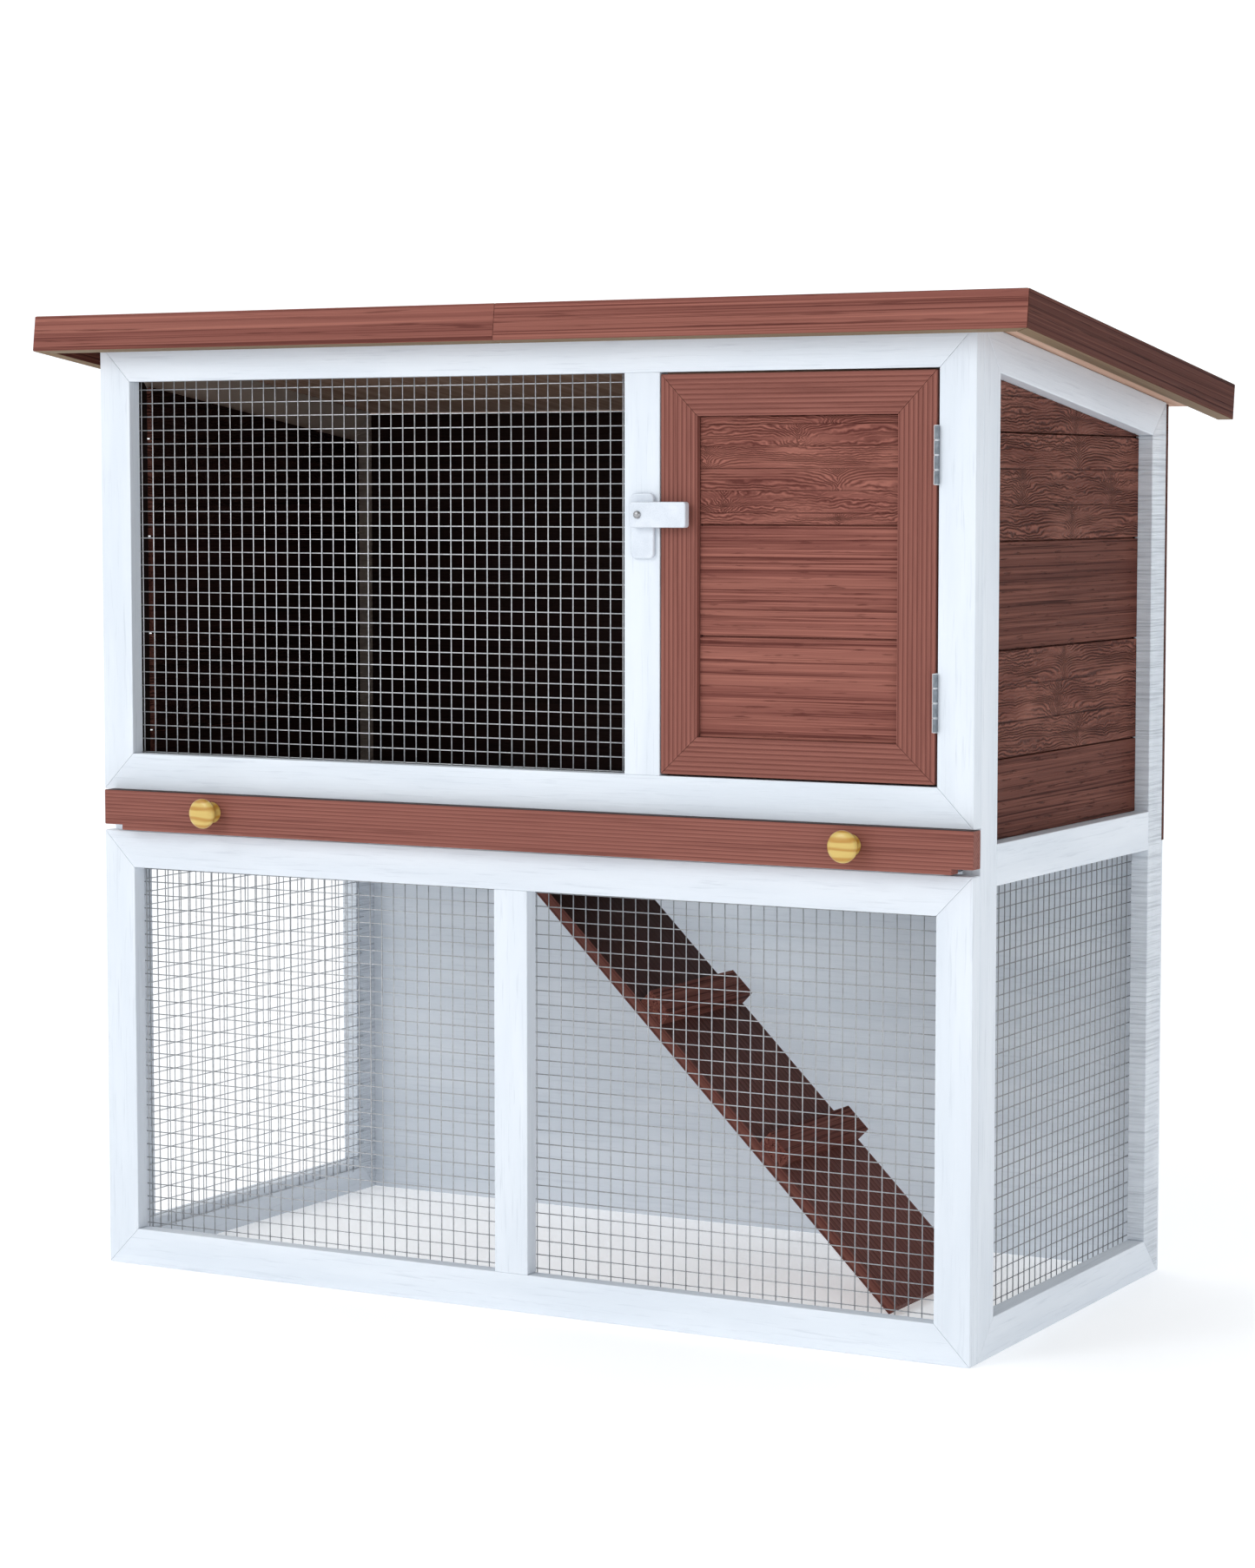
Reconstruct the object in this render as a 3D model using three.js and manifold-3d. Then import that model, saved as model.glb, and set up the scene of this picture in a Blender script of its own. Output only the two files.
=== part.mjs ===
// Two-storey rabbit hutch: a mesh-sided run on the floor, a boarded cabin above it, a pull-out tray
// between the two, a ramp through the tray's hatch, a framed door with a turn button, and a lean-to roof.
//
// Millimetres, +Z up, front facing -Y. Inside this file x = 0 is the middle of the body, y = 0 is the
// front face of the front frames and z = 0 is the floor. The exported group moves that datum so that
// the origin is the bottom centre of the whole hutch.

import * as THREE from 'three';
import { mergeVertices } from 'three/addons/utils/BufferGeometryUtils.js';
import Module from 'manifold-3d';

const wasm = await Module();
wasm.setup();

// ---------------------------------------------------------------- driving dimensions

const FIT_GAP = 0.3;              // clearance between pieces that meet on a slanted face
const HALF_WIDTH = 450;           // half the body's width
const BODY_REAR = 446;            // rear face of the side frames
const FRONT_THICKNESS = 16;       // boards of the front frames and the door
const SIDE_THICKNESS = 17;        // boards of the side frames
const INNER_HALF_WIDTH = HALF_WIDTH - SIDE_THICKNESS;

const LOWER_FRAME = { bottom: 0, top: 418.3, stile: 33.7, bottomRail: 34.7, topRail: 34.8 };
const LOWER_UPRIGHT = { left: -17.8, right: 16.6 };
const UPPER_FRAME = { bottom: 457.7, top: 879.5, stile: 33.7, bottomRail: 34.6, topRail: 36 };
const UPPER_UPRIGHT = { left: 116.4, right: 151.6 };

const SIDE_STILE = 35;            // width of a side frame's stiles
const SIDE_BOTTOM_RAIL = 34.2;
const SIDE_MIDDLE_RAIL = { bottom: 405.9, top: 441.8 };
const SIDE_TOP_RAIL = 35;         // measured square to the roof slope
const BOARD_PITCH = 93.2;         // visible height of one cladding board
const FIRST_BOARD_JOINT = 511.2;
const BOARD_JOINTS = 4;
const CLADDING = { recess: 13.7, thickness: 10, groove: 3 };

const ROOF = { frontY: -25.5, frontZ: 905.7, length: 504.4, halfWidth: 506.7 };
const ROOF_PITCH = THREE.MathUtils.degToRad(7.4575);
const FASCIA = { height: 33.3, thickness: 15.5 };
const DECK = { below: 20.3, thickness: 12 };
const FELT = { thickness: 2.4, inset: 0.7 };

const BACK_PANEL = { top: 821.8, split: 412, upperThickness: 6, lowerThickness: 3 };
const REAR_RAIL = { front: 429, bottom: 383.6 };

const MESH = { cell: 76.2, wire: 2, thickness: 1.4, overlap: 12 };

const TRAY = {
  gap: 0.4, top: 458.3, bottom: 420.5, left: -438.7, right: 456.7, thickness: 15.1,
  notchLength: 20, notchHeight: 5,
};
const PAN = { halfWidth: 424, rear: 440, bottom: 418.6, height: 30, sheet: 1 };
const HATCH = { left: -96, right: 84, front: 140, rear: 328, rim: 12 };
const KNOB = { leftX: -314.4, rightX: 344, z: 441.5, length: 21.5 };

const DOOR = { left: 152.8, right: 414, bottom: 494.2, top: 841.7 };
const DOOR_MEMBER = { left: 35.7, right: 35.5, bottom: 33.3, top: 36.5 };
const DOOR_JOINTS = [615.3, 711.5];
const DOOR_BOARD = { recess: 5, thickness: 6, gap: 0.4 };

const HINGE = {
  length: 50, knuckles: 4, knuckleGap: 0.4, barrelRadius: 2.4, pinRadius: 1.1, boreRadius: 1.35,
  leafInner: 0.15, leafOuter: 0.95, leafStart: 2.7, leafEnd: 15,
};
const DOOR_HINGE = { x: 415.05, y: -2.4, lowerZ: 563.2, upperZ: 770.6 };

const LATCH = {
  x: 136.4, z: 720.2, plateHalfWidth: 11.5, plateBottom: 682, plateTop: 739, plateThickness: 4.5,
  barLeft: 127.7, barRight: 183.4, barHalfHeight: 11.2, barThickness: 8, corner: 4,
  holeRadius: 2.6, shankRadius: 2.3, headRadius: 4.6, headHeight: 2.4,
};

const RAMP = {
  topX: -103, topZ: 420, front: 150, rear: 318, thickness: 11, start: 14,
  floorGap: 0.3, cleatLength: 30, cleatHeight: 15, cleatPitch: 174.3, upperCleat: 231.2,
};
const RAMP_ANGLE = THREE.MathUtils.degToRad(44.66);
const BEARER_WIDTH = 35;

// ---------------------------------------------------------------- finishes

function finish(color, roughness, metalness) {
  return () => new THREE.MeshStandardMaterial({ color, roughness, metalness });
}

const whitePaint = finish(0xe6edf4, 0.55, 0);
const brownStain = finish(0x8b5850, 0.6, 0);
const darkStain = finish(0x5a342c, 0.65, 0);
const bareWood = finish(0xb79c86, 0.8, 0);
const pineKnob = finish(0xe2c162, 0.45, 0);
const roofFelt = finish(0x3c3f42, 0.95, 0);
const zincWire = finish(0xb9bcbe, 0.4, 0.9);
const zincSheet = finish(0xaab0b4, 0.45, 0.9);
const hingeSteel = finish(0x9a9da0, 0.4, 0.9);
const whitePlastic = finish(0xeef1f4, 0.4, 0);

// ---------------------------------------------------------------- solids

function named(name, geometry, material) {
  const mesh = new THREE.Mesh(geometry, material());
  mesh.name = name;
  return mesh;
}

// A box given by its faces. Each corner takes the stated values as they are, so boxes that share a
// face share it exactly.
function box(x0, x1, y0, y1, z0, z1) {
  const geometry = new THREE.BoxGeometry(1, 1, 1);
  const corners = geometry.attributes.position;
  for (let index = 0; index < corners.count; index += 1) {
    corners.setXYZ(index,
      corners.getX(index) < 0 ? x0 : x1,
      corners.getY(index) < 0 ? y0 : y1,
      corners.getZ(index) < 0 ? z0 : z1);
  }
  return geometry;
}

function extrude(shape, depth, curveSegments = 8) {
  return new THREE.ExtrudeGeometry(shape, { depth, bevelEnabled: false, curveSegments });
}

function shapeOf(points) {
  return new THREE.Shape(points.map(([a, b]) => new THREE.Vector2(a, b)));
}

// A profile of [radius, height] points turned about an axis that runs along -y.
function turned(profile, segments) {
  const points = profile.map(([radius, height]) => new THREE.Vector2(radius, height));
  return new THREE.LatheGeometry(points, segments).rotateX(Math.PI);
}

// A shape drawn in x and z, seen from the front, made solid from y0 to y1.
function frontSolid(shape, y0, y1) {
  const turn = new THREE.Matrix4().makeRotationX(Math.PI / 2);
  return extrude(shape, y1 - y0).applyMatrix4(turn).translate(0, y1, 0);
}

// A shape drawn in y and z, seen from the right, made solid from x0 to x1.
function sideSolid(shape, x0, x1) {
  const turn = new THREE.Matrix4().makeBasis(
    new THREE.Vector3(0, 1, 0), new THREE.Vector3(0, 0, 1), new THREE.Vector3(1, 0, 0));
  return extrude(shape, x1 - x0).applyMatrix4(turn).translate(x0, 0, 0);
}

function toSolid(geometry) {
  const bare = geometry.clone();
  bare.deleteAttribute('normal');
  bare.deleteAttribute('uv');
  const merged = mergeVertices(bare, 1e-4);
  return new wasm.Manifold(new wasm.Mesh({
    numProp: 3,
    vertProperties: new Float32Array(merged.attributes.position.array),
    triVerts: new Uint32Array(merged.index.array),
  }));
}

function fromSolid(solid) {
  const { vertProperties, triVerts } = solid.getMesh();
  const geometry = new THREE.BufferGeometry();
  geometry.setAttribute('position', new THREE.BufferAttribute(vertProperties, 3));
  geometry.setIndex(new THREE.BufferAttribute(triVerts, 1));
  return geometry;
}

function combine(first, { add = [], cut = [] }) {
  let solid = toSolid(first);
  for (const geometry of add) solid = solid.add(toSolid(geometry));
  for (const geometry of cut) solid = solid.subtract(toSolid(geometry));
  return fromSolid(solid);
}

// ---------------------------------------------------------------- front frames

// Four boards mitred at the corners, with their outer outline given by left, right, bottom and top.
function mitredFrame(prefix, outer, widths, y0, y1, material) {
  const { left, right, bottom, top } = outer;
  const inner = {
    left: left + widths.left, right: right - widths.right,
    bottom: bottom + widths.bottom, top: top - widths.top,
  };
  const outlines = {
    rail_bottom: [[left, bottom], [right, bottom], [inner.right, inner.bottom], [inner.left, inner.bottom]],
    rail_top: [[left, top], [inner.left, inner.top], [inner.right, inner.top], [right, top]],
    stile_left: [
      [left, bottom + FIT_GAP], [inner.left, inner.bottom + FIT_GAP],
      [inner.left, inner.top - FIT_GAP], [left, top - FIT_GAP]],
    stile_right: [
      [right, bottom + FIT_GAP], [right, top - FIT_GAP],
      [inner.right, inner.top - FIT_GAP], [inner.right, inner.bottom + FIT_GAP]],
  };
  const group = new THREE.Group();
  for (const [piece, outline] of Object.entries(outlines)) {
    group.add(named(`${prefix}_${piece}`, frontSolid(shapeOf(outline), y0, y1), material));
  }
  return group;
}

function frontFrame(prefix, size, upright) {
  const outer = { left: -HALF_WIDTH, right: HALF_WIDTH, bottom: size.bottom, top: size.top };
  const widths = { left: size.stile, right: size.stile, bottom: size.bottomRail, top: size.topRail };
  const group = mitredFrame(prefix, outer, widths, 0, FRONT_THICKNESS, whitePaint);
  const uprightBoard = box(upright.left, upright.right, 0, FRONT_THICKNESS,
    size.bottom + size.bottomRail, size.top - size.topRail);
  group.add(named(`${prefix}_upright`, uprightBoard, whitePaint));
  return group;
}

// ---------------------------------------------------------------- side frames

const FRONT_STILE_Y = FRONT_THICKNESS + SIDE_STILE;
const REAR_STILE_Y = BODY_REAR - SIDE_STILE;
const SIDE_RAIL_DROP = SIDE_TOP_RAIL / Math.cos(ROOF_PITCH);

// Height of the top edge of a side frame, just under the sloping roof deck.
function sideTop(y) {
  const slope = Math.tan(ROOF_PITCH);
  return ROOF.frontZ - (y - ROOF.frontY) * slope - DECK.below / Math.cos(ROOF_PITCH) - FIT_GAP;
}

function sideRailUnderside(y) {
  return sideTop(y) - SIDE_RAIL_DROP;
}

function sideFrame(prefix, x0, x1) {
  const outlines = {
    stile_front: [
      [FRONT_THICKNESS, FIT_GAP], [FRONT_STILE_Y, SIDE_BOTTOM_RAIL + FIT_GAP],
      [FRONT_STILE_Y, sideRailUnderside(FRONT_STILE_Y) - FIT_GAP],
      [FRONT_THICKNESS, sideTop(FRONT_THICKNESS) - FIT_GAP]],
    stile_rear: [
      [BODY_REAR, FIT_GAP], [BODY_REAR, sideTop(BODY_REAR) - FIT_GAP],
      [REAR_STILE_Y, sideRailUnderside(REAR_STILE_Y) - FIT_GAP],
      [REAR_STILE_Y, SIDE_BOTTOM_RAIL + FIT_GAP]],
    rail_bottom: [
      [FRONT_THICKNESS, 0], [BODY_REAR, 0],
      [REAR_STILE_Y, SIDE_BOTTOM_RAIL], [FRONT_STILE_Y, SIDE_BOTTOM_RAIL]],
    rail_middle: [
      [FRONT_STILE_Y, SIDE_MIDDLE_RAIL.bottom], [REAR_STILE_Y, SIDE_MIDDLE_RAIL.bottom],
      [REAR_STILE_Y, SIDE_MIDDLE_RAIL.top], [FRONT_STILE_Y, SIDE_MIDDLE_RAIL.top]],
    rail_top: [
      [FRONT_THICKNESS, sideTop(FRONT_THICKNESS)],
      [FRONT_STILE_Y, sideRailUnderside(FRONT_STILE_Y)],
      [REAR_STILE_Y, sideRailUnderside(REAR_STILE_Y)], [BODY_REAR, sideTop(BODY_REAR)]],
  };
  const group = new THREE.Group();
  for (const [piece, outline] of Object.entries(outlines)) {
    group.add(named(`${prefix}_${piece}`, sideSolid(shapeOf(outline), x0, x1), whitePaint));
  }
  return group;
}

// Horizontal cladding between a side frame's rails, with a V groove at each joint on its outer face.
function cladding(name, side) {
  const outerX = side * (HALF_WIDTH - CLADDING.recess);
  const innerX = outerX - side * CLADDING.thickness;
  const y0 = FRONT_STILE_Y + FIT_GAP;
  const y1 = REAR_STILE_Y - FIT_GAP;
  const bottom = SIDE_MIDDLE_RAIL.top + FIT_GAP;
  const outline = [
    [y0, bottom], [y1, bottom],
    [y1, sideRailUnderside(y1) - FIT_GAP], [y0, sideRailUnderside(y0) - FIT_GAP]];
  const panel = sideSolid(shapeOf(outline), Math.min(outerX, innerX), Math.max(outerX, innerX));
  const grooves = [];
  for (let joint = 0; joint < BOARD_JOINTS; joint += 1) {
    const cutter = new THREE.BoxGeometry(CLADDING.groove, y1 - y0 + 10, CLADDING.groove);
    cutter.rotateY(Math.PI / 4);
    grooves.push(cutter.translate(outerX, (y0 + y1) / 2, FIRST_BOARD_JOINT + joint * BOARD_PITCH));
  }
  return named(name, combine(panel, { cut: grooves }), darkStain);
}

// ---------------------------------------------------------------- back and floor bearers

function back() {
  const { top, split, upperThickness, lowerThickness } = BACK_PANEL;
  const group = new THREE.Group();
  group.add(named('back_panel_upper',
    box(-HALF_WIDTH, HALF_WIDTH, BODY_REAR, BODY_REAR + upperThickness, split, top), darkStain));
  group.add(named('back_panel_lower',
    box(-HALF_WIDTH, HALF_WIDTH, BODY_REAR, BODY_REAR + lowerThickness, 0, split), whitePaint));
  group.add(named('rear_cross_rail',
    box(-INNER_HALF_WIDTH, INNER_HALF_WIDTH, REAR_RAIL.front, BODY_REAR,
      REAR_RAIL.bottom, LOWER_FRAME.top), whitePaint));
  return group;
}

// ---------------------------------------------------------------- wire mesh

// The edges of the wires across one span, in order: start and end of the first, of the second, ...
function wireEdges(low, high) {
  const cells = Math.round((high - low - MESH.wire) / MESH.cell);
  const step = (high - low - MESH.wire) / cells;
  const edges = [];
  for (let index = 0; index <= cells; index += 1) {
    edges.push(low + index * step, low + index * step + MESH.wire);
  }
  return edges;
}

// Flat welded grid in the x-z plane, from y = 0 to the wire's thickness. It is laid out as a table of
// rectangles in which a column or row with an even number is a wire, and the rest are the holes.
function gridGeometry(xEdges, zEdges) {
  const positions = [];
  const quad = (a, b, c, d) => positions.push(...a, ...b, ...c, ...a, ...c, ...d);
  const filled = (column, row) => column >= 0 && row >= 0
    && column < xEdges.length - 1 && row < zEdges.length - 1 && (column % 2 === 0 || row % 2 === 0);
  const far = MESH.thickness;

  for (let column = 0; column < xEdges.length - 1; column += 1) {
    for (let row = 0; row < zEdges.length - 1; row += 1) {
      if (!filled(column, row)) continue;
      const [x0, x1, z0, z1] = [xEdges[column], xEdges[column + 1], zEdges[row], zEdges[row + 1]];
      quad([x0, 0, z0], [x1, 0, z0], [x1, 0, z1], [x0, 0, z1]);
      quad([x0, far, z0], [x0, far, z1], [x1, far, z1], [x1, far, z0]);
      if (!filled(column - 1, row)) quad([x0, 0, z0], [x0, 0, z1], [x0, far, z1], [x0, far, z0]);
      if (!filled(column + 1, row)) quad([x1, 0, z0], [x1, far, z0], [x1, far, z1], [x1, 0, z1]);
      if (!filled(column, row - 1)) quad([x0, 0, z0], [x0, far, z0], [x1, far, z0], [x1, 0, z0]);
      if (!filled(column, row + 1)) quad([x0, 0, z1], [x1, 0, z1], [x1, far, z1], [x0, far, z1]);
    }
  }
  const geometry = new THREE.BufferGeometry();
  geometry.setAttribute('position', new THREE.Float32BufferAttribute(positions, 3));
  return geometry;
}

function frontMesh(name, left, right, frame) {
  const lap = MESH.overlap;
  const grid = gridGeometry(wireEdges(left - lap, right + lap),
    wireEdges(frame.bottom + frame.bottomRail - lap, frame.top - frame.topRail + lap));
  return named(name, grid.translate(0, FRONT_THICKNESS + FIT_GAP, 0), zincWire);
}

function sideMesh(name, side) {
  const lap = MESH.overlap;
  const grid = gridGeometry(wireEdges(FRONT_STILE_Y - lap, REAR_STILE_Y + lap),
    wireEdges(SIDE_BOTTOM_RAIL - lap, SIDE_MIDDLE_RAIL.bottom + lap));
  const middle = side * (INNER_HALF_WIDTH - FIT_GAP - MESH.thickness / 2);
  grid.rotateZ(Math.PI / 2).translate(middle + MESH.thickness / 2, 0, 0);
  return named(name, grid, zincWire);
}

function wireMesh() {
  const opening = HALF_WIDTH - LOWER_FRAME.stile;
  const group = new THREE.Group();
  group.add(frontMesh('mesh_window', -opening, UPPER_UPRIGHT.left, UPPER_FRAME));
  group.add(frontMesh('mesh_run_left', -opening, LOWER_UPRIGHT.left, LOWER_FRAME));
  group.add(frontMesh('mesh_run_right', LOWER_UPRIGHT.right, opening, LOWER_FRAME));
  group.add(sideMesh('mesh_side_left', -1));
  group.add(sideMesh('mesh_side_right', 1));
  return group;
}

// ---------------------------------------------------------------- pull-out tray

function trayFrontBoard() {
  const { left, right, bottom, top, notchLength, notchHeight } = TRAY;
  const outline = [
    [left, bottom + notchHeight], [left + notchLength, bottom + notchHeight],
    [left + notchLength, bottom], [right - notchLength, bottom],
    [right - notchLength, bottom + notchHeight], [right, bottom + notchHeight],
    [right, top], [left, top]];
  return frontSolid(shapeOf(outline), -TRAY.gap - TRAY.thickness, -TRAY.gap);
}

// Folded sheet with low walls, and a rimmed hatch over the ramp.
function trayPan() {
  const { halfWidth, rear, bottom, height, sheet } = PAN;
  const front = -TRAY.gap;
  const floor = bottom + sheet;
  const top = bottom + height;
  const outer = box(-halfWidth, halfWidth, front, rear, bottom, top);
  const hollow = box(-halfWidth + sheet, halfWidth - sheet, front + sheet, rear - sheet, floor, top + 1);
  const rim = box(HATCH.left - sheet, HATCH.right + sheet, HATCH.front - sheet, HATCH.rear + sheet,
    bottom, floor + HATCH.rim);
  const hole = box(HATCH.left, HATCH.right, HATCH.front, HATCH.rear, bottom - 1, top + 1);
  const shell = toSolid(outer).subtract(toSolid(hollow)).add(toSolid(rim)).subtract(toSolid(hole));
  return fromSolid(shell);
}

// Turned knob, its axis along -Y, standing on the tray's front board.
function knobGeometry() {
  const profile = [
    [0, 0], [9.75, 0], [9.3, 4], [9.8, 8], [11.6, 12], [14, 16], [13.2, 18.6], [10.2, 20.4],
    [5.4, 21.3], [0, KNOB.length]];
  return turned(profile, 24);
}

function knob(name, x) {
  const mesh = named(name, knobGeometry(), pineKnob);
  mesh.position.set(x, -TRAY.gap - TRAY.thickness, KNOB.z);
  return mesh;
}

function tray() {
  const group = new THREE.Group();
  group.add(named('tray_front_board', trayFrontBoard(), brownStain));
  group.add(named('tray_pan', trayPan(), zincSheet));
  group.add(knob('tray_knob_left', KNOB.leftX), knob('tray_knob_right', KNOB.rightX));
  return group;
}

// ---------------------------------------------------------------- roof

// Drawn flat, with local y running down the slope from the front top edge, then tilted as a whole.
function roof() {
  const { height, thickness } = FASCIA;
  const { halfWidth, length } = ROOF;
  const inner = halfWidth - thickness;
  const slab = (outline, z0, z1) => extrude(shapeOf(outline), z1 - z0).translate(0, 0, z0);
  const fascia = (outline) => slab(outline, -height, 0);
  const seam = FIT_GAP / 2;

  const group = new THREE.Group();
  group.add(named('roof_fascia_front_left', fascia([
    [-halfWidth, 0], [-seam, 0], [-seam, thickness], [-inner, thickness]]), brownStain));
  group.add(named('roof_fascia_front_right', fascia([
    [seam, 0], [halfWidth, 0], [inner, thickness], [seam, thickness]]), brownStain));
  group.add(named('roof_fascia_left', fascia([
    [-halfWidth, FIT_GAP], [-inner, thickness + FIT_GAP], [-inner, length], [-halfWidth, length]]),
  brownStain));
  group.add(named('roof_fascia_right', fascia([
    [halfWidth, FIT_GAP], [halfWidth, length], [inner, length], [inner, thickness + FIT_GAP]]),
  brownStain));

  const deckX = inner - FIT_GAP;
  const deckTop = DECK.thickness - DECK.below;
  group.add(named('roof_deck',
    box(-deckX, deckX, thickness + FIT_GAP, length, -DECK.below, deckTop), bareWood));
  const feltX = inner - FELT.inset;
  const feltBottom = deckTop + FIT_GAP;
  group.add(named('roof_felt',
    box(-feltX, feltX, thickness + FELT.inset, length, feltBottom, feltBottom + FELT.thickness),
    roofFelt));

  group.rotation.x = -ROOF_PITCH;
  group.position.set(0, ROOF.frontY, ROOF.frontZ);
  return group;
}

// ---------------------------------------------------------------- hinges

// One leaf of a butt hinge. Its pin runs along local z, and its plate lies along local +y on the side
// given by the sign of side. The leaf that carries the pin has solid knuckles; the other is bored.
function hingeLeaf({ side, firstKnuckle, carriesPin }) {
  const { length, knuckles, knuckleGap, barrelRadius, pinRadius, boreRadius } = HINGE;
  const { leafInner, leafOuter, leafStart, leafEnd } = HINGE;
  const pitch = length / knuckles;
  const x0 = Math.min(side * leafInner, side * leafOuter);
  const x1 = Math.max(side * leafInner, side * leafOuter);
  const cylinder = (radius, height, z) => new THREE.CylinderGeometry(radius, radius, height, 16)
    .rotateX(Math.PI / 2).translate(0, 0, z);

  const plate = box(x0, x1, leafStart, leafEnd, -length / 2, length / 2);
  const add = [];
  for (let index = firstKnuckle; index < knuckles; index += 2) {
    const centre = -length / 2 + (index + 0.5) * pitch;
    const half = (pitch - knuckleGap) / 2;
    add.push(box(x0, x1, 0, leafStart + 1, centre - half, centre + half));
    add.push(cylinder(barrelRadius, 2 * half, centre));
  }
  if (carriesPin) add.push(cylinder(pinRadius, length, 0));
  const cut = carriesPin ? [] : [cylinder(boreRadius, length + 2, 0)];
  return combine(plate, { add, cut });
}

const pinLeaf = (side) => hingeLeaf({ side, firstKnuckle: 0, carriesPin: true });
const boredLeaf = (side) => hingeLeaf({ side, firstKnuckle: 1, carriesPin: false });

function doorHinge(prefix, z) {
  const group = new THREE.Group();
  group.add(named(`${prefix}_frame_leaf`, pinLeaf(1), hingeSteel));
  group.add(named(`${prefix}_door_leaf`, boredLeaf(-1), hingeSteel));
  group.position.set(DOOR_HINGE.x, DOOR_HINGE.y, z);
  return group;
}

// ---------------------------------------------------------------- door and turn button

function door() {
  const group = mitredFrame('door', DOOR, DOOR_MEMBER, 0, FRONT_THICKNESS, brownStain);
  const x0 = DOOR.left + DOOR_MEMBER.left + FIT_GAP;
  const x1 = DOOR.right - DOOR_MEMBER.right - FIT_GAP;
  const y0 = DOOR_BOARD.recess;
  const y1 = y0 + DOOR_BOARD.thickness;
  const edges = [
    DOOR.bottom + DOOR_MEMBER.bottom, ...DOOR_JOINTS, DOOR.top - DOOR_MEMBER.top];
  ['bottom', 'middle', 'top'].forEach((place, index) => {
    const half = DOOR_BOARD.gap / 2;
    const board = box(x0, x1, y0, y1, edges[index] + half, edges[index + 1] - half);
    group.add(named(`door_board_${place}`, board, brownStain));
  });
  return group;
}

function roundedRectangle(left, right, bottom, top, radius) {
  const shape = new THREE.Shape();
  shape.absarc(right - radius, bottom + radius, radius, -Math.PI / 2, 0, false);
  shape.absarc(right - radius, top - radius, radius, 0, Math.PI / 2, false);
  shape.absarc(left + radius, top - radius, radius, Math.PI / 2, Math.PI, false);
  shape.absarc(left + radius, bottom + radius, radius, Math.PI, 1.5 * Math.PI, false);
  return shape;
}

function addHole(shape, x, z, radius) {
  const hole = new THREE.Path();
  hole.absarc(x, z, radius, 0, 2 * Math.PI, true);
  shape.holes.push(hole);
}

function turnButton() {
  const half = LATCH.plateHalfWidth;
  const plate = roundedRectangle(LATCH.x - half, LATCH.x + half,
    LATCH.plateBottom, LATCH.plateTop, half - 0.5);
  const bar = roundedRectangle(LATCH.barLeft, LATCH.barRight,
    LATCH.z - LATCH.barHalfHeight, LATCH.z + LATCH.barHalfHeight, LATCH.corner);
  addHole(plate, LATCH.x, LATCH.z, LATCH.holeRadius);
  addHole(bar, LATCH.x, LATCH.z, LATCH.holeRadius);
  const barBack = -LATCH.plateThickness - FIT_GAP;
  const barFront = barBack - LATCH.barThickness;
  const headBack = barFront - FIT_GAP;

  const group = new THREE.Group();
  group.add(named('latch_plate', frontSolid(plate, -LATCH.plateThickness, 0), whitePlastic));
  group.add(named('latch_bar', frontSolid(bar, barFront, barBack), whitePlastic));
  const profile = [
    [0, 0], [LATCH.shankRadius, 0], [LATCH.shankRadius, -headBack],
    [LATCH.headRadius, -headBack], [LATCH.headRadius * 0.8, -headBack + LATCH.headHeight * 0.75],
    [0, -headBack + LATCH.headHeight]];
  const screw = named('latch_screw', turned(profile, 16), hingeSteel);
  screw.position.set(LATCH.x, 0, LATCH.z);
  group.add(screw);
  return group;
}

// ---------------------------------------------------------------- ramp

// Local x runs down the ramp from where its top face would meet the cabin floor, and local z stands
// square to it. The board ends where its lower corner reaches the ground.
function ramp() {
  const sin = Math.sin(RAMP_ANGLE);
  const cos = Math.cos(RAMP_ANGLE);
  const { thickness, start, front, rear, cleatLength, cleatHeight } = RAMP;
  const end = (RAMP.topZ - RAMP.floorGap - thickness * cos) / sin;
  const hingeX = start - HINGE.leafStart;
  const hingeZ = -thickness - HINGE.leafOuter - FIT_GAP;
  const middle = (front + rear) / 2;

  const board = new THREE.Group();
  board.add(named('ramp_board', box(start, end, front, rear, -thickness, 0), brownStain));
  const cleat = (x) => box(x - cleatLength / 2, x + cleatLength / 2, front, rear,
    FIT_GAP, FIT_GAP + cleatHeight);
  board.add(named('ramp_cleat_upper', cleat(RAMP.upperCleat), brownStain));
  board.add(named('ramp_cleat_lower', cleat(RAMP.upperCleat + RAMP.cleatPitch), brownStain));
  board.rotation.y = RAMP_ANGLE;
  board.position.set(RAMP.topX, 0, RAMP.topZ);

  const axis = new THREE.Vector3(
    RAMP.topX + hingeX * cos + hingeZ * sin, middle, RAMP.topZ - hingeX * sin + hingeZ * cos);
  const fixedLeaf = new THREE.Group();
  fixedLeaf.add(named('ramp_hinge_fixed_leaf', pinLeaf(1), hingeSteel));
  const movingLeaf = new THREE.Group();
  movingLeaf.add(named('ramp_hinge_moving_leaf', boredLeaf(1), hingeSteel));
  // The pin turns from z to y, the fixed plate stands up and the other lies under the board.
  fixedLeaf.setRotationFromMatrix(new THREE.Matrix4().makeBasis(
    new THREE.Vector3(-1, 0, 0), new THREE.Vector3(0, 0, 1), new THREE.Vector3(0, 1, 0)));
  movingLeaf.setRotationFromMatrix(new THREE.Matrix4().makeBasis(
    new THREE.Vector3(sin, 0, cos), new THREE.Vector3(cos, 0, -sin), new THREE.Vector3(0, 1, 0)));
  for (const leaf of [fixedLeaf, movingLeaf]) leaf.position.copy(axis);

  const group = new THREE.Group();
  group.add(board, fixedLeaf, movingLeaf, rampBearer(axis));
  return group;
}

// Batten from front to back under the tray, which the ramp hangs from.
function rampBearer(axis) {
  const right = axis.x - HINGE.leafOuter - FIT_GAP;
  return named('ramp_bearer', box(right - BEARER_WIDTH, right, FRONT_THICKNESS, REAR_RAIL.front,
    axis.z + HINGE.leafStart, LOWER_FRAME.top), whitePaint);
}

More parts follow.
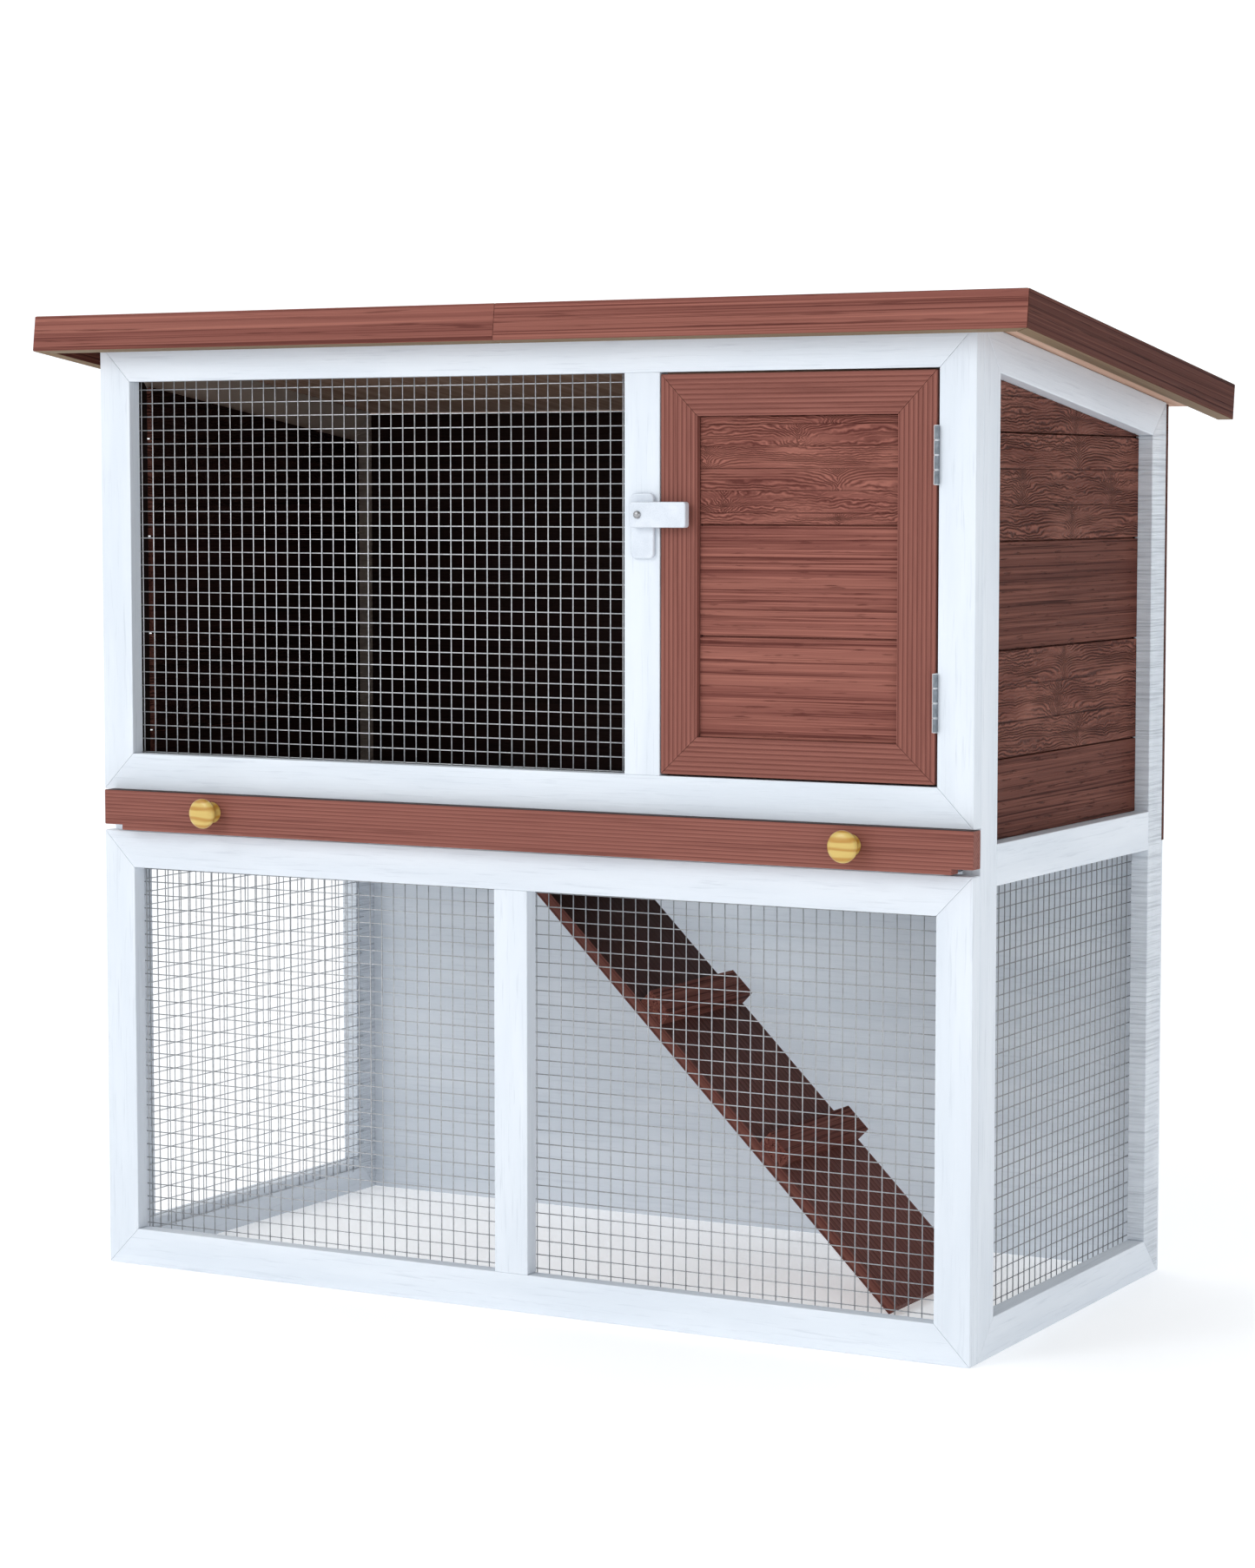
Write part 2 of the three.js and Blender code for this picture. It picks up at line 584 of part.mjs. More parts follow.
// ---------------------------------------------------------------- assembly

const hutch = new THREE.Group();
hutch.add(
  frontFrame('lower_front', LOWER_FRAME, LOWER_UPRIGHT),
  frontFrame('upper_front', UPPER_FRAME, UPPER_UPRIGHT),
  sideFrame('side_left', -HALF_WIDTH, -INNER_HALF_WIDTH),
  sideFrame('side_right', INNER_HALF_WIDTH, HALF_WIDTH),
  cladding('side_left_boards', -1),
  cladding('side_right_boards', 1),
  back(),
  wireMesh(),
  tray(),
  roof(),
  door(),
  doorHinge('hinge_lower', DOOR_HINGE.lowerZ),
  doorHinge('hinge_upper', DOOR_HINGE.upperZ),
  turnButton(),
  ramp(),
);

// The hutch is deepest between the knobs and the roof's rear edge, so its centre lies midway.
const frontmost = -TRAY.gap - TRAY.thickness - KNOB.length;
const rearmost = ROOF.frontY + ROOF.length * Math.cos(ROOF_PITCH);
hutch.position.y = -(frontmost + rearmost) / 2;

export default hutch;
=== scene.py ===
"""The looks of the rabbit hutch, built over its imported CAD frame.

Metres, +Z up, the front of the hutch faces -Y. Pieces whose CAD shape is right keep it and get rounded
edges and a procedural finish. The wire mesh, the cladding, the door's boards and frame, the knobs and
the turn button are built here in more detail and stand for their CAD nodes.
"""
import math
import random

import bmesh
import bpy
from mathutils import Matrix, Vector


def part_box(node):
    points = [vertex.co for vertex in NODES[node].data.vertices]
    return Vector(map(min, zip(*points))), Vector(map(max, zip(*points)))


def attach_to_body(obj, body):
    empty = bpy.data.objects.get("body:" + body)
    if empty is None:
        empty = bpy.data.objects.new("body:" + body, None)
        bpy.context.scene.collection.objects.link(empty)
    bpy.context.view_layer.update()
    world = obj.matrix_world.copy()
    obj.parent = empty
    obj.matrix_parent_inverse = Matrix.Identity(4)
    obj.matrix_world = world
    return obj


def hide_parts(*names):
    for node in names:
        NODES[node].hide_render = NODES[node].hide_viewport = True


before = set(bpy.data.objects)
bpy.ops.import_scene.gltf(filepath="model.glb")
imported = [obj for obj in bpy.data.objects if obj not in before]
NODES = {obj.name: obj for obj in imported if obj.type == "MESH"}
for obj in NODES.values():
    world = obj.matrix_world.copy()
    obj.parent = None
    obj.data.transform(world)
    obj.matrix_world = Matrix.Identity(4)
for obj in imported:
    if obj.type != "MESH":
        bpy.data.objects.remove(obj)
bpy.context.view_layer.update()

MM = 0.001

# ---------------------------------------------------------------- camera, light and floor

CAMERA_PLACE = (1.65904, -3.015947, 0.73941)
CAMERA_TURN = (85.423, 0, 28.825)  # degrees
CAMERA_LENS = 83.59  # millimetres, as is the sensor's width
CAMERA_SENSOR = 36

SKY_COLOUR = (0.975, 0.99, 1.0, 1)
# The sky's strength, and the sideways direction where it starts or stops fading, left and right.
SKY_STRENGTH = (1.0, 0.1)
SKY_FADE = (-0.1, 0.9)
# Each lamp: place, point it looks at, side length, watts.
LAMPS = {
    "key": ((-1.5, -3.8, 2.6), (0, 0, 0.45), 1.6, 39),
    "side": ((3.2, -2.6, 2.0), (0.3, 0, 0.4), 1.4, 13),
}
LAMP_COLOUR = (0.97, 0.985, 1.0)
# The floor sweeps up all round into a low wall: (radius, height) of its profile in metres.
SWEEP = [(0.0, 0.0), (3.0, 0.0), (6.0, 0.0), (6.9, 0.12), (7.6, 0.45), (8.0, 1.0), (8.1, 1.7),
         (8.1, 2.8)]
SWEEP_SEGMENTS = 96
FLOOR_DROP = 0.5 * MM
FLOOR_GLOW = 0.3


def make_camera():
    data = bpy.data.cameras.new("camera")
    data.lens = CAMERA_LENS
    data.sensor_width = CAMERA_SENSOR
    camera = bpy.data.objects.new("camera", data)
    camera.location = CAMERA_PLACE
    camera.rotation_euler = [math.radians(a) for a in CAMERA_TURN]
    bpy.context.scene.collection.objects.link(camera)
    bpy.context.scene.camera = camera


def make_lamp(name, place, target, size, watts):
    data = bpy.data.lights.new(name, "AREA")
    data.size = size
    data.energy = watts
    data.color = LAMP_COLOUR
    lamp = bpy.data.objects.new(name, data)
    lamp.location = place
    lamp.rotation_euler = (Vector(target) - Vector(place)).to_track_quat("-Z", "Y").to_euler()
    bpy.context.scene.collection.objects.link(lamp)


def make_sky():
    """A white sky that fades towards the right of the hutch."""
    world = bpy.data.worlds.new("studio")
    world.use_nodes = True
    tree = world.node_tree
    direction = tree.nodes.new("ShaderNodeTexCoord").outputs["Generated"]
    split = tree.nodes.new("ShaderNodeSeparateXYZ")
    fade = tree.nodes.new("ShaderNodeMapRange")
    fade.inputs["From Min"].default_value, fade.inputs["From Max"].default_value = SKY_FADE
    fade.inputs["To Min"].default_value, fade.inputs["To Max"].default_value = SKY_STRENGTH
    sky = tree.nodes["Background"]
    sky.inputs["Color"].default_value = SKY_COLOUR
    tree.links.new(direction, split.inputs[0])
    tree.links.new(split.outputs["X"], fade.inputs["Value"])
    tree.links.new(fade.outputs["Result"], sky.inputs["Strength"])
    return world


def make_studio():
    bpy.context.scene.view_settings.view_transform = "Standard"
    bpy.context.scene.world = make_sky()
    for name, settings in LAMPS.items():
        make_lamp(name, *settings)
    make_floor()


def make_floor():
    points = [(0, 0, 0)]
    for radius, height in SWEEP[1:]:
        for i in range(SWEEP_SEGMENTS):
            a = 2 * math.pi * i / SWEEP_SEGMENTS
            points.append((radius * math.cos(a), radius * math.sin(a), height))
    faces = [(0, 1 + i, 1 + (i + 1) % SWEEP_SEGMENTS) for i in range(SWEEP_SEGMENTS)]
    for ring in range(len(SWEEP) - 2):
        inner, outer = 1 + ring * SWEEP_SEGMENTS, 1 + (ring + 1) * SWEEP_SEGMENTS
        for i in range(SWEEP_SEGMENTS):
            j = (i + 1) % SWEEP_SEGMENTS
            faces.append((inner + i, outer + i, outer + j, inner + j))
    floor = make_object("floor", points, faces, smooth=True)
    floor.location.z = -FLOOR_DROP
    floor.data.materials.append(floor_finish())


# ---------------------------------------------------------------- building pieces

WELD_DISTANCE = 0.01 * MM
SHARP_ANGLE = math.radians(25)


def make_object(name, points, faces, smooth=False):
    mesh = bpy.data.meshes.new(name)
    mesh.from_pydata(points, [], faces)
    mesh.update()
    for polygon in mesh.polygons:
        polygon.use_smooth = smooth
    thing = bpy.data.objects.new(name, mesh)
    bpy.context.scene.collection.objects.link(thing)
    return thing


def attach(piece, body, finish, stands_for=()):
    """Gives a piece its finish, the body it moves with and the CAD nodes it stands for."""
    piece.data.materials.append(finish)
    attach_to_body(piece, body)
    if stands_for:
        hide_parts(*stands_for)


def soften(thing, width, segments=2):
    """Rounds a piece's sharp edges by a width in millimetres."""
    weld = thing.modifiers.new("weld", "WELD")
    weld.merge_threshold = WELD_DISTANCE
    bevel = thing.modifiers.new("bevel", "BEVEL")
    bevel.width = width * MM
    bevel.segments = segments
    bevel.limit_method = "ANGLE"
    bevel.angle_limit = SHARP_ANGLE


def prism(name, outline, x0, x1):
    """A solid from x0 to x1. Its outline of (y, z) points is counter-clockwise seen from +X."""
    count = len(outline)
    points = [(x, y, z) for x in (x0, x1) for y, z in outline]
    faces = [tuple(range(count))[::-1], tuple(range(count, 2 * count))]
    for i in range(count):
        j = (i + 1) % count
        faces.append((i, j, count + j, count + i))
    return make_object(name, points, faces)


def plate(name, outline, y0, y1):
    """A solid from y0 to y1. Its outline of (x, z) points is counter-clockwise seen from the front."""
    count = len(outline)
    points = [(x, y, z) for y in (y0, y1) for x, z in outline]
    faces = [tuple(range(count)), tuple(range(count, 2 * count))[::-1]]
    for i in range(count):
        j = (i + 1) % count
        faces.append((i, count + i, count + j, j))
    return make_object(name, points, faces)


def turned(name, profile, centre, segments):
    """A lathed solid about an axis along -Y. The profile is (radius, distance ahead of the centre)."""
    points, faces = [], []
    for radius, ahead in profile:
        for s in range(segments):
            a = 2 * math.pi * s / segments
            points.append((centre[0] + radius * math.cos(a), centre[1] - ahead,
                           centre[2] + radius * math.sin(a)))
    for ring in range(len(profile) - 1):
        for s in range(segments):
            t = (s + 1) % segments
            a, b = ring * segments, (ring + 1) * segments
            faces.append((a + s, a + t, b + t, b + s))
    faces.append(tuple(range(segments))[::-1])
    faces.append(tuple(range(len(points) - segments, len(points))))
    return make_object(name, points, faces, smooth=True)


# ---------------------------------------------------------------- finishes: shared node helpers

ROOF_PITCH = math.radians(7.4575)
RAMP_ANGLE = math.radians(44.66)
# How the object's own axes turn so that the grain runs along X.
ALONG_X = (0, 0, 0)
ALONG_Y = (0, 0, -math.pi / 2)
ALONG_Z = (0, math.pi / 2, 0)
ALONG_ROOF = (ROOF_PITCH, 0, -math.pi / 2)
ALONG_RAMP = (0, -RAMP_ANGLE, 0)


# Directions a face can look in: to the hutch's right, left and front, up and down.
EAST, WEST, SOUTH, UP, DOWN = (1, 0, 0), (-1, 0, 0), (0, -1, 0), (0, 0, 1), (0, 0, -1)
FACING_DOT = 0.5  # the least dot product of a face's normal with the direction that it looks in
EDGE_DOT = 2 / 3  # a rounded edge counts full where its normal's dot product with the flat's is this
EVERYWHERE = -1.0  # a height that everything is above
SEED_SHIFT = (3.1, 1.7, 2.3)  # how far each seed moves a pattern

SOCKETS = {"base_color": "Base Color", "roughness": "Roughness", "metallic": "Metallic",
           "normal": "Normal", "coat": "Coat Weight", "coat_roughness": "Coat Roughness",
           "specular": "Specular IOR Level", "glow": "Emission Color",
           "glow_strength": "Emission Strength"}


class Finish:
    """One procedural material, and short names for the nodes it is made of."""

    def __init__(self, name):
        self.material = bpy.data.materials.new(name)
        self.material.use_nodes = True
        self.tree = self.material.node_tree
        self.tree.nodes.clear()
        self.shader = self.add("ShaderNodeBsdfPrincipled")
        out = self.add("ShaderNodeOutputMaterial")
        self.tree.links.new(self.shader.outputs["BSDF"], out.inputs["Surface"])

    def add(self, kind, inputs=None, **settings):
        node = self.tree.nodes.new(kind)
        for key, value in settings.items():
            setattr(node, key, value)
        for key, value in (inputs or {}).items():
            self.feed(node.inputs[key], value)
        return node

    def feed(self, socket, value):
        if isinstance(value, bpy.types.NodeSocket):
            self.tree.links.new(value, socket)
        else:
            socket.default_value = value

    def set(self, **values):
        """Feeds the shader's sockets: base_color=..., roughness=..., and so on."""
        for key, value in values.items():
            self.feed(self.shader.inputs[SOCKETS[key]], value)

    def coordinates(self, turn=ALONG_X):
        """The object's own coordinates in metres, turned so that the grain runs along X."""
        place = self.add("ShaderNodeTexCoord").outputs["Object"]
        if turn == ALONG_X:
            return place
        return self.add("ShaderNodeVectorRotate", {"Vector": place, "Rotation": turn},
                        rotation_type="EULER_XYZ").outputs["Vector"]

    def stretched(self, vector, scale, seed=0):
        """Coordinates for a pattern with about scale marks to the metre, moved by the seed."""
        shift = tuple(step * seed for step in SEED_SHIFT)
        return self.add("ShaderNodeMapping",
                        {"Vector": vector, "Scale": scale, "Location": shift}).outputs["Vector"]

    def noise(self, vector, detail=3, roughness=0.55, distortion=0.0):
        return self.add("ShaderNodeTexNoise",
                        {"Vector": vector, "Scale": 1.0, "Detail": detail, "Roughness": roughness,
                         "Distortion": distortion}).outputs["Fac"]

    def math(self, operation, a, b=0.0, c=0.0):
        return self.add("ShaderNodeMath", {0: a, 1: b, 2: c}, operation=operation).outputs[0]

    def levels(self, value, low, high, to_low=0.0, to_high=1.0):
        return self.add("ShaderNodeMapRange",
                        {"Value": value, "From Min": low, "From Max": high, "To Min": to_low,
                         "To Max": to_high}).outputs["Result"]

    def mix(self, amount, a, b):
        node = self.add("ShaderNodeMix", data_type="RGBA")
        self.feed(node.inputs[0], amount)
        self.feed(node.inputs[6], a)
        self.feed(node.inputs[7], b)
        return node.outputs[2]

    def bump(self, height, depth, strength=1.0, normal=None):
        inputs = {"Height": height, "Distance": depth, "Strength": strength}
        if normal is not None:
            inputs["Normal"] = normal
        return self.add("ShaderNodeBump", inputs).outputs["Normal"]

    def edges(self, radius):
        """1 on the rounded edges of a piece and 0 on its flats."""
        rounded = self.add("ShaderNodeBevel", {"Radius": radius}, samples=4).outputs["Normal"]
        flat = self.add("ShaderNodeNewGeometry").outputs["Normal"]
        dot = self.add("ShaderNodeVectorMath", {0: rounded, 1: flat},
                       operation="DOT_PRODUCT").outputs["Value"]
        return self.levels(dot, 1.0, EDGE_DOT)


def facing(f, direction, above=EVERYWHERE):
    """1 on the faces that look in a direction, above a height."""
    normal = f.add("ShaderNodeTexCoord").outputs["Normal"]
    looks = f.add("ShaderNodeVectorMath", {0: normal, 1: direction}, operation="DOT_PRODUCT")
    height = f.add("ShaderNodeSeparateXYZ", {0: f.coordinates()}).outputs["Z"]
    return f.math("MULTIPLY", f.math("GREATER_THAN", looks.outputs["Value"], FACING_DOT),
                  f.math("GREATER_THAN", height, above))


def rgb(r, g, b):
    """A linear colour from its 0-255 screen values."""
    def linear(v):
        v /= 255
        return v / 12.92 if v <= 0.04045 else ((v + 0.055) / 1.055) ** 2.4
    return (linear(r), linear(g), linear(b), 1)


def scaled(colour, factor):
    """A linear colour made lighter or darker."""
    return tuple(c * factor for c in colour[:3]) + (1,)


# ---------------------------------------------------------------- the palette

PAINT = (rgb(213, 220, 228), rgb(222, 228, 235))
PAINT_SHADE = rgb(182, 190, 200)
PAINT_EDGE = rgb(240, 243, 247)
ROUGH_PAINT_SHADE = rgb(160, 167, 177)
# Stained wood: dark, middle and light.
BROWN = (rgb(78, 38, 34), rgb(124, 75, 67), rgb(154, 100, 88))
RAMP_BROWN = (rgb(52, 26, 22), rgb(98, 56, 49), rgb(126, 79, 69))
SIDE_BROWN = (rgb(42, 18, 15), rgb(88, 50, 42), rgb(117, 74, 63))
BRUSHED_SIDE_BROWN = (rgb(47, 21, 18), rgb(104, 62, 53), rgb(134, 88, 76))
FASCIA_BROWN = (rgb(38, 17, 14), rgb(74, 40, 34), rgb(100, 61, 52))
# Painted shade: the shadow in the gap above the tray board, and the darkening of the ramp's upper part.
TRAY_TOP_PAINTED_SHADOW = rgb(46, 24, 21)
RAMP_TOP_PAINTED_SHADE = rgb(44, 26, 22)
# Painted shade inside the cabin, a tan one and a dark one, and the unstained lower edge of the fascia.
CABIN_PAINTED_SHADE_TAN = rgb(164, 150, 140)
CABIN_PAINTED_SHADE_DARK = rgb(22, 14, 13)
BARE_EDGE = rgb(132, 112, 90)
# Two tones that a surface wanders between, and for some a third one for its pores or fibres, or the
# painted highlight on the hinges' rolled edge and gaps.
DECK_WOOD = (rgb(214, 178, 156), rgb(176, 136, 114), rgb(120, 92, 72))
# Painted shade for the cabin's ceiling.
CABIN_CEILING_PAINTED_SHADE = rgb(74, 58, 48)
PINE = (rgb(204, 175, 95), rgb(180, 132, 48), rgb(186, 138, 54))
HINGE_STEEL = (rgb(128, 135, 142), rgb(104, 111, 118), rgb(214, 218, 222))
FELT = (rgb(36, 39, 42), rgb(112, 116, 119), rgb(58, 60, 62))
PLASTIC = (rgb(206, 213, 222), rgb(217, 223, 231))
FLOOR_WHITE = (rgb(246, 247, 249), rgb(250, 251, 252))
TRAY_ZINC = rgb(190, 194, 198)
RAMP_HINGE_STEEL = rgb(205, 207, 210)
SCREW_STEEL = rgb(168, 168, 170)
# The middle value of each wire panel's zinc, lighter or darker by panel as painted light and shade.
WIRE_GREY_WITH_PAINTED_LIGHT = {"window": 222, "run_left": 188, "run_right": 182, "side_left": 205, "side_right": 158}


# ---------------------------------------------------------------- finishes: paint and stained wood

# The cabin: its floor's height, half its width inside the boards, and the back of its front frame.
CABIN_FLOOR = 0.4465
CABIN_HALF_WIDTH = 0.433
CABIN_FRONT = -0.203
CABIN_SHADE_COVER = 0.93  # how much of a stain the cabin's dark painted shade covers
# How far the worn tone of a rounded edge reaches, on stain and on paint.
EDGE_RADIUS = 1.4 * MM
PAINT_EDGE_RADIUS = 1.2 * MM


def cabin_painted_shade(f, tone, inward):
    """A stain's tone, almost covered by the cabin's dark painted shade on the faces that look inward.
    """
    return f.mix(f.math("MULTIPLY", facing(f, inward), CABIN_SHADE_COVER), tone, CABIN_PAINTED_SHADE_DARK)


def ridges(f, place, pitch, waver):
    """Fine parallel grooves along the grain, 0 in a groove and 1 on a ridge, that waver a little."""
    split = f.add("ShaderNodeSeparateXYZ", {0: place})
    across = f.math("ADD", split.outputs["Y"], split.outputs["Z"])
    drift = f.math("MULTIPLY", f.noise(f.stretched(place, (5, 40, 40)), 2), waver)
    turns = f.math("ADD", f.math("MULTIPLY", across, 2 * math.pi / pitch), drift)
    return f.math("MULTIPLY_ADD", f.math("SINE", turns), 0.5, 0.5)


def white_paint(name, turn, seed, inward=None, cabin_shade=CABIN_PAINTED_SHADE_TAN):
    """Satin white paint. Inward is the direction of a face inside the cabin, which above the cabin
    floor gets painted shade.
    """
    f = Finish(name)
    place = f.coordinates(turn)
    brush = f.noise(f.stretched(place, (16, 380, 380), seed), 4, 0.6, 0.4)
    cloud = f.noise(f.stretched(place, (4, 30, 30), seed), 3)
    tone = f.mix(f.levels(cloud, 0.35, 0.65), *PAINT)
    tone = f.mix(f.levels(brush, 0.56, 0.74, 0, 0.42), tone, PAINT_SHADE)
    tone = f.mix(f.math("MULTIPLY", f.edges(PAINT_EDGE_RADIUS), 0.35), tone, PAINT_EDGE)
    if inward:
        # Faces that look into the cabin, above its floor, get painted shade.
        tone = f.mix(facing(f, inward, CABIN_FLOOR), tone, cabin_shade)
    f.set(base_color=tone, roughness=f.levels(brush, 0.3, 0.7, 0.42, 0.58), specular=0.35)
    f.set(normal=f.bump(brush, 0.35 * MM, 0.7))
    return f.material


def rough_white_paint(name, turn, seed, inward):
    """White paint over coarse sawn wood, whose short ridges run across the member."""
    f = Finish(name)
    place = f.coordinates(turn)
    saw = f.noise(f.stretched(place, (520, 10, 10), seed), 4, 0.6, 0.1)
    cloud = f.noise(f.stretched(place, (5, 30, 30), seed), 3)
    tone = f.mix(f.levels(cloud, 0.35, 0.65), *PAINT)
    tone = f.mix(f.levels(saw, 0.48, 0.64, 0, 0.5), tone, ROUGH_PAINT_SHADE)
    # Faces that look into the cabin, above its floor, get painted shade.
    tone = f.mix(facing(f, inward, CABIN_FLOOR), tone, CABIN_PAINTED_SHADE_TAN)
    f.set(base_color=tone, roughness=f.levels(saw, 0.3, 0.7, 0.45, 0.6), specular=0.35)
    f.set(normal=f.bump(saw, 2.2 * MM, 0.9))
    return f.material


REED_PITCH = 4.3  # millimetres
TOP_SHADE_FADE = (0.08, 0.38)  # heights in metres over which the painted shade on upward faces fades in


def reeded_stain(name, turn, seed, tones=BROWN, pitch=REED_PITCH, depth=0.35, top_shade=None):
    """Brown stain on a board with fine machined lines along it. Pitch and depth are in millimetres.

    Its upward faces may get painted shade of their own, which fades out towards the ground.
    """
    f = Finish(name)
    place = f.coordinates(turn)
    wide = ridges(f, place, pitch * MM, 0.9)
    narrow = ridges(f, place, pitch * MM / 2, 1.3)
    line = f.math("MULTIPLY_ADD", wide, 0.6, f.math("MULTIPLY", narrow, 0.4))
    streak = f.noise(f.stretched(place, (7, 330, 330), seed), 5, 0.62)
    cloud = f.noise(f.stretched(place, (5, 22, 22), seed), 3)
    tone = f.mix(f.levels(line, 0.1, 0.95, 0, 0.75), tones[1], tones[2])
    tone = f.mix(f.levels(line, 0.34, 0.08, 0, 0.4), tone, tones[0])
    tone = f.mix(f.levels(streak, 0.5, 0.78, 0, 0.7), tone, tones[0])
    tone = f.mix(f.levels(cloud, 0.35, 0.7, 0, 0.35), tone, tones[1])
    tone = f.mix(f.math("MULTIPLY", f.edges(EDGE_RADIUS), 0.45), tone, tones[2])
    # Upward faces get painted shade, stronger higher up.
    if top_shade:
        height = f.add("ShaderNodeSeparateXYZ", {0: f.coordinates()}).outputs["Z"]
        amount = f.math("MULTIPLY", facing(f, UP), f.levels(height, *TOP_SHADE_FADE))
        tone = f.mix(amount, tone, top_shade)
    f.set(base_color=tone, roughness=f.levels(streak, 0.3, 0.7, 0.5, 0.64), specular=0.12)
    height = f.math("ADD", line, f.math("MULTIPLY", streak, 0.6))
    f.set(normal=f.bump(height, depth * MM, 0.5))
    return f.material


def streaked_stain(name, turn, seed, tones=BROWN, depth=0.4, inward=None, bare_below=False,
                   length=1.0):
    """Brown stain on brushed wood with long straight streaks, fine light ridges and dark flecks.

    Depth is in millimetres and length multiplies the length of the marks. Inward is the direction of a
    face inside the cabin, which gets dark painted shade. Bare_below leaves downward faces unstained.
    """
    f = Finish(name)
    place = f.coordinates(turn)
    band = f.noise(f.stretched(place, (1.5 / length, 90, 90), seed), 3, 0.5)
    streak = f.noise(f.stretched(place, (2.2 / length, 380, 380), seed), 4, 0.65)
    ridge = f.noise(f.stretched(place, (5 / length, 560, 560), seed + 2), 2, 0.5)
    fleck = f.noise(f.stretched(place, (34 / length, 420, 420), seed + 4), 3, 0.5)
    tone = f.mix(f.levels(band, 0.36, 0.64, 0.0, 0.58), tones[1], tones[2])
    tone = f.mix(f.levels(streak, 0.5, 0.6, 0, 0.75), tone, tones[0])
    tone = f.mix(f.levels(ridge, 0.54, 0.64, 0, 0.65), tone, scaled(tones[2], 1.1))
    tone = f.mix(f.levels(fleck, 0.62, 0.71, 0, 0.6), tone, tones[0])
    tone = f.mix(f.math("MULTIPLY", f.edges(EDGE_RADIUS), 0.45), tone, tones[2])
    # Faces that look into the cabin get dark painted shade.
    if inward:
        tone = cabin_painted_shade(f, tone, inward)
    if bare_below:
        tone = f.mix(facing(f, DOWN), tone, BARE_EDGE)
    f.set(base_color=tone, roughness=f.levels(streak, 0.3, 0.7, 0.55, 0.7), specular=0.05)
    height = f.math("SUBTRACT", f.math("ADD", f.math("MULTIPLY", streak, 0.7), ridge),
                    f.levels(fleck, 0.6, 0.7))
    f.set(normal=f.bump(height, depth * MM, 0.8))
    return f.material


# Along a strip of brushed board: how far apart its joints are, how much a strip's joints are shifted
# at the most, and how far from a joint its peak of grain reaches.
JOINT_SPACING = 0.21
JOINT_SHIFT = 3.7
PEAK_REACH = 11 * MM
# How far the grain lines bend: in a swell, in a ripple, in a ripple at a peak, and at a peak itself.
SWELL, RIPPLE, PEAK_RIPPLE, PEAK_BEND = 8 * MM, 6 * MM, 16 * MM, 9 * MM
NUMBERS_APART = 7.31  # keeps the strips of two boards from drawing the same chances
BAND_SHIFT = 0.37  # keeps a strip's shade from following the place of its joints


def grain_peaks(f, along, number):
    """1 at the joints of a strip and less away from them. Number tells the strips apart."""
    chance = f.add("ShaderNodeTexWhiteNoise", {"W": number}, noise_dimensions="1D").outputs["Value"]
    shifted = f.math("ADD", along, f.math("MULTIPLY", chance, JOINT_SHIFT))
    shifted = f.math("DIVIDE", shifted, JOINT_SPACING)
    nearest = f.math("SUBTRACT", f.math("FRACT", shifted), 0.5)
    nearest = f.math("ABSOLUTE", f.math("MULTIPLY", nearest, JOINT_SPACING))
    return f.math("EXPONENT", f.math("DIVIDE", nearest, -PEAK_REACH))


def grain_lines(f, place, height, peak, pitch, seed):
    """0 in the valleys and 1 on the crests of wandering grain lines, which rise at the peaks."""
    swell = f.noise(f.stretched(place, (20, 20, 50), seed), 2, 0.5)
    ripple = f.noise(f.stretched(place, (90, 90, 150), seed), 2, 0.5)
    calm = f.levels(f.noise(f.stretched(place, (8, 8, 40), seed + 3), 2), 0.38, 0.6, 0.2, 1.0)
    ripple = f.math("MULTIPLY", ripple, f.math("MULTIPLY_ADD", peak, PEAK_RIPPLE, RIPPLE))
    bend = f.math("MULTIPLY", f.math("MULTIPLY_ADD", swell, SWELL, ripple), calm)
    bend = f.math("MULTIPLY_ADD", peak, PEAK_BEND, bend)
    turns = f.math("MULTIPLY", f.math("ADD", height, bend), 2 * math.pi / (pitch * MM))
    return f.math("MULTIPLY_ADD", f.math("SINE", turns), 0.5, 0.5)


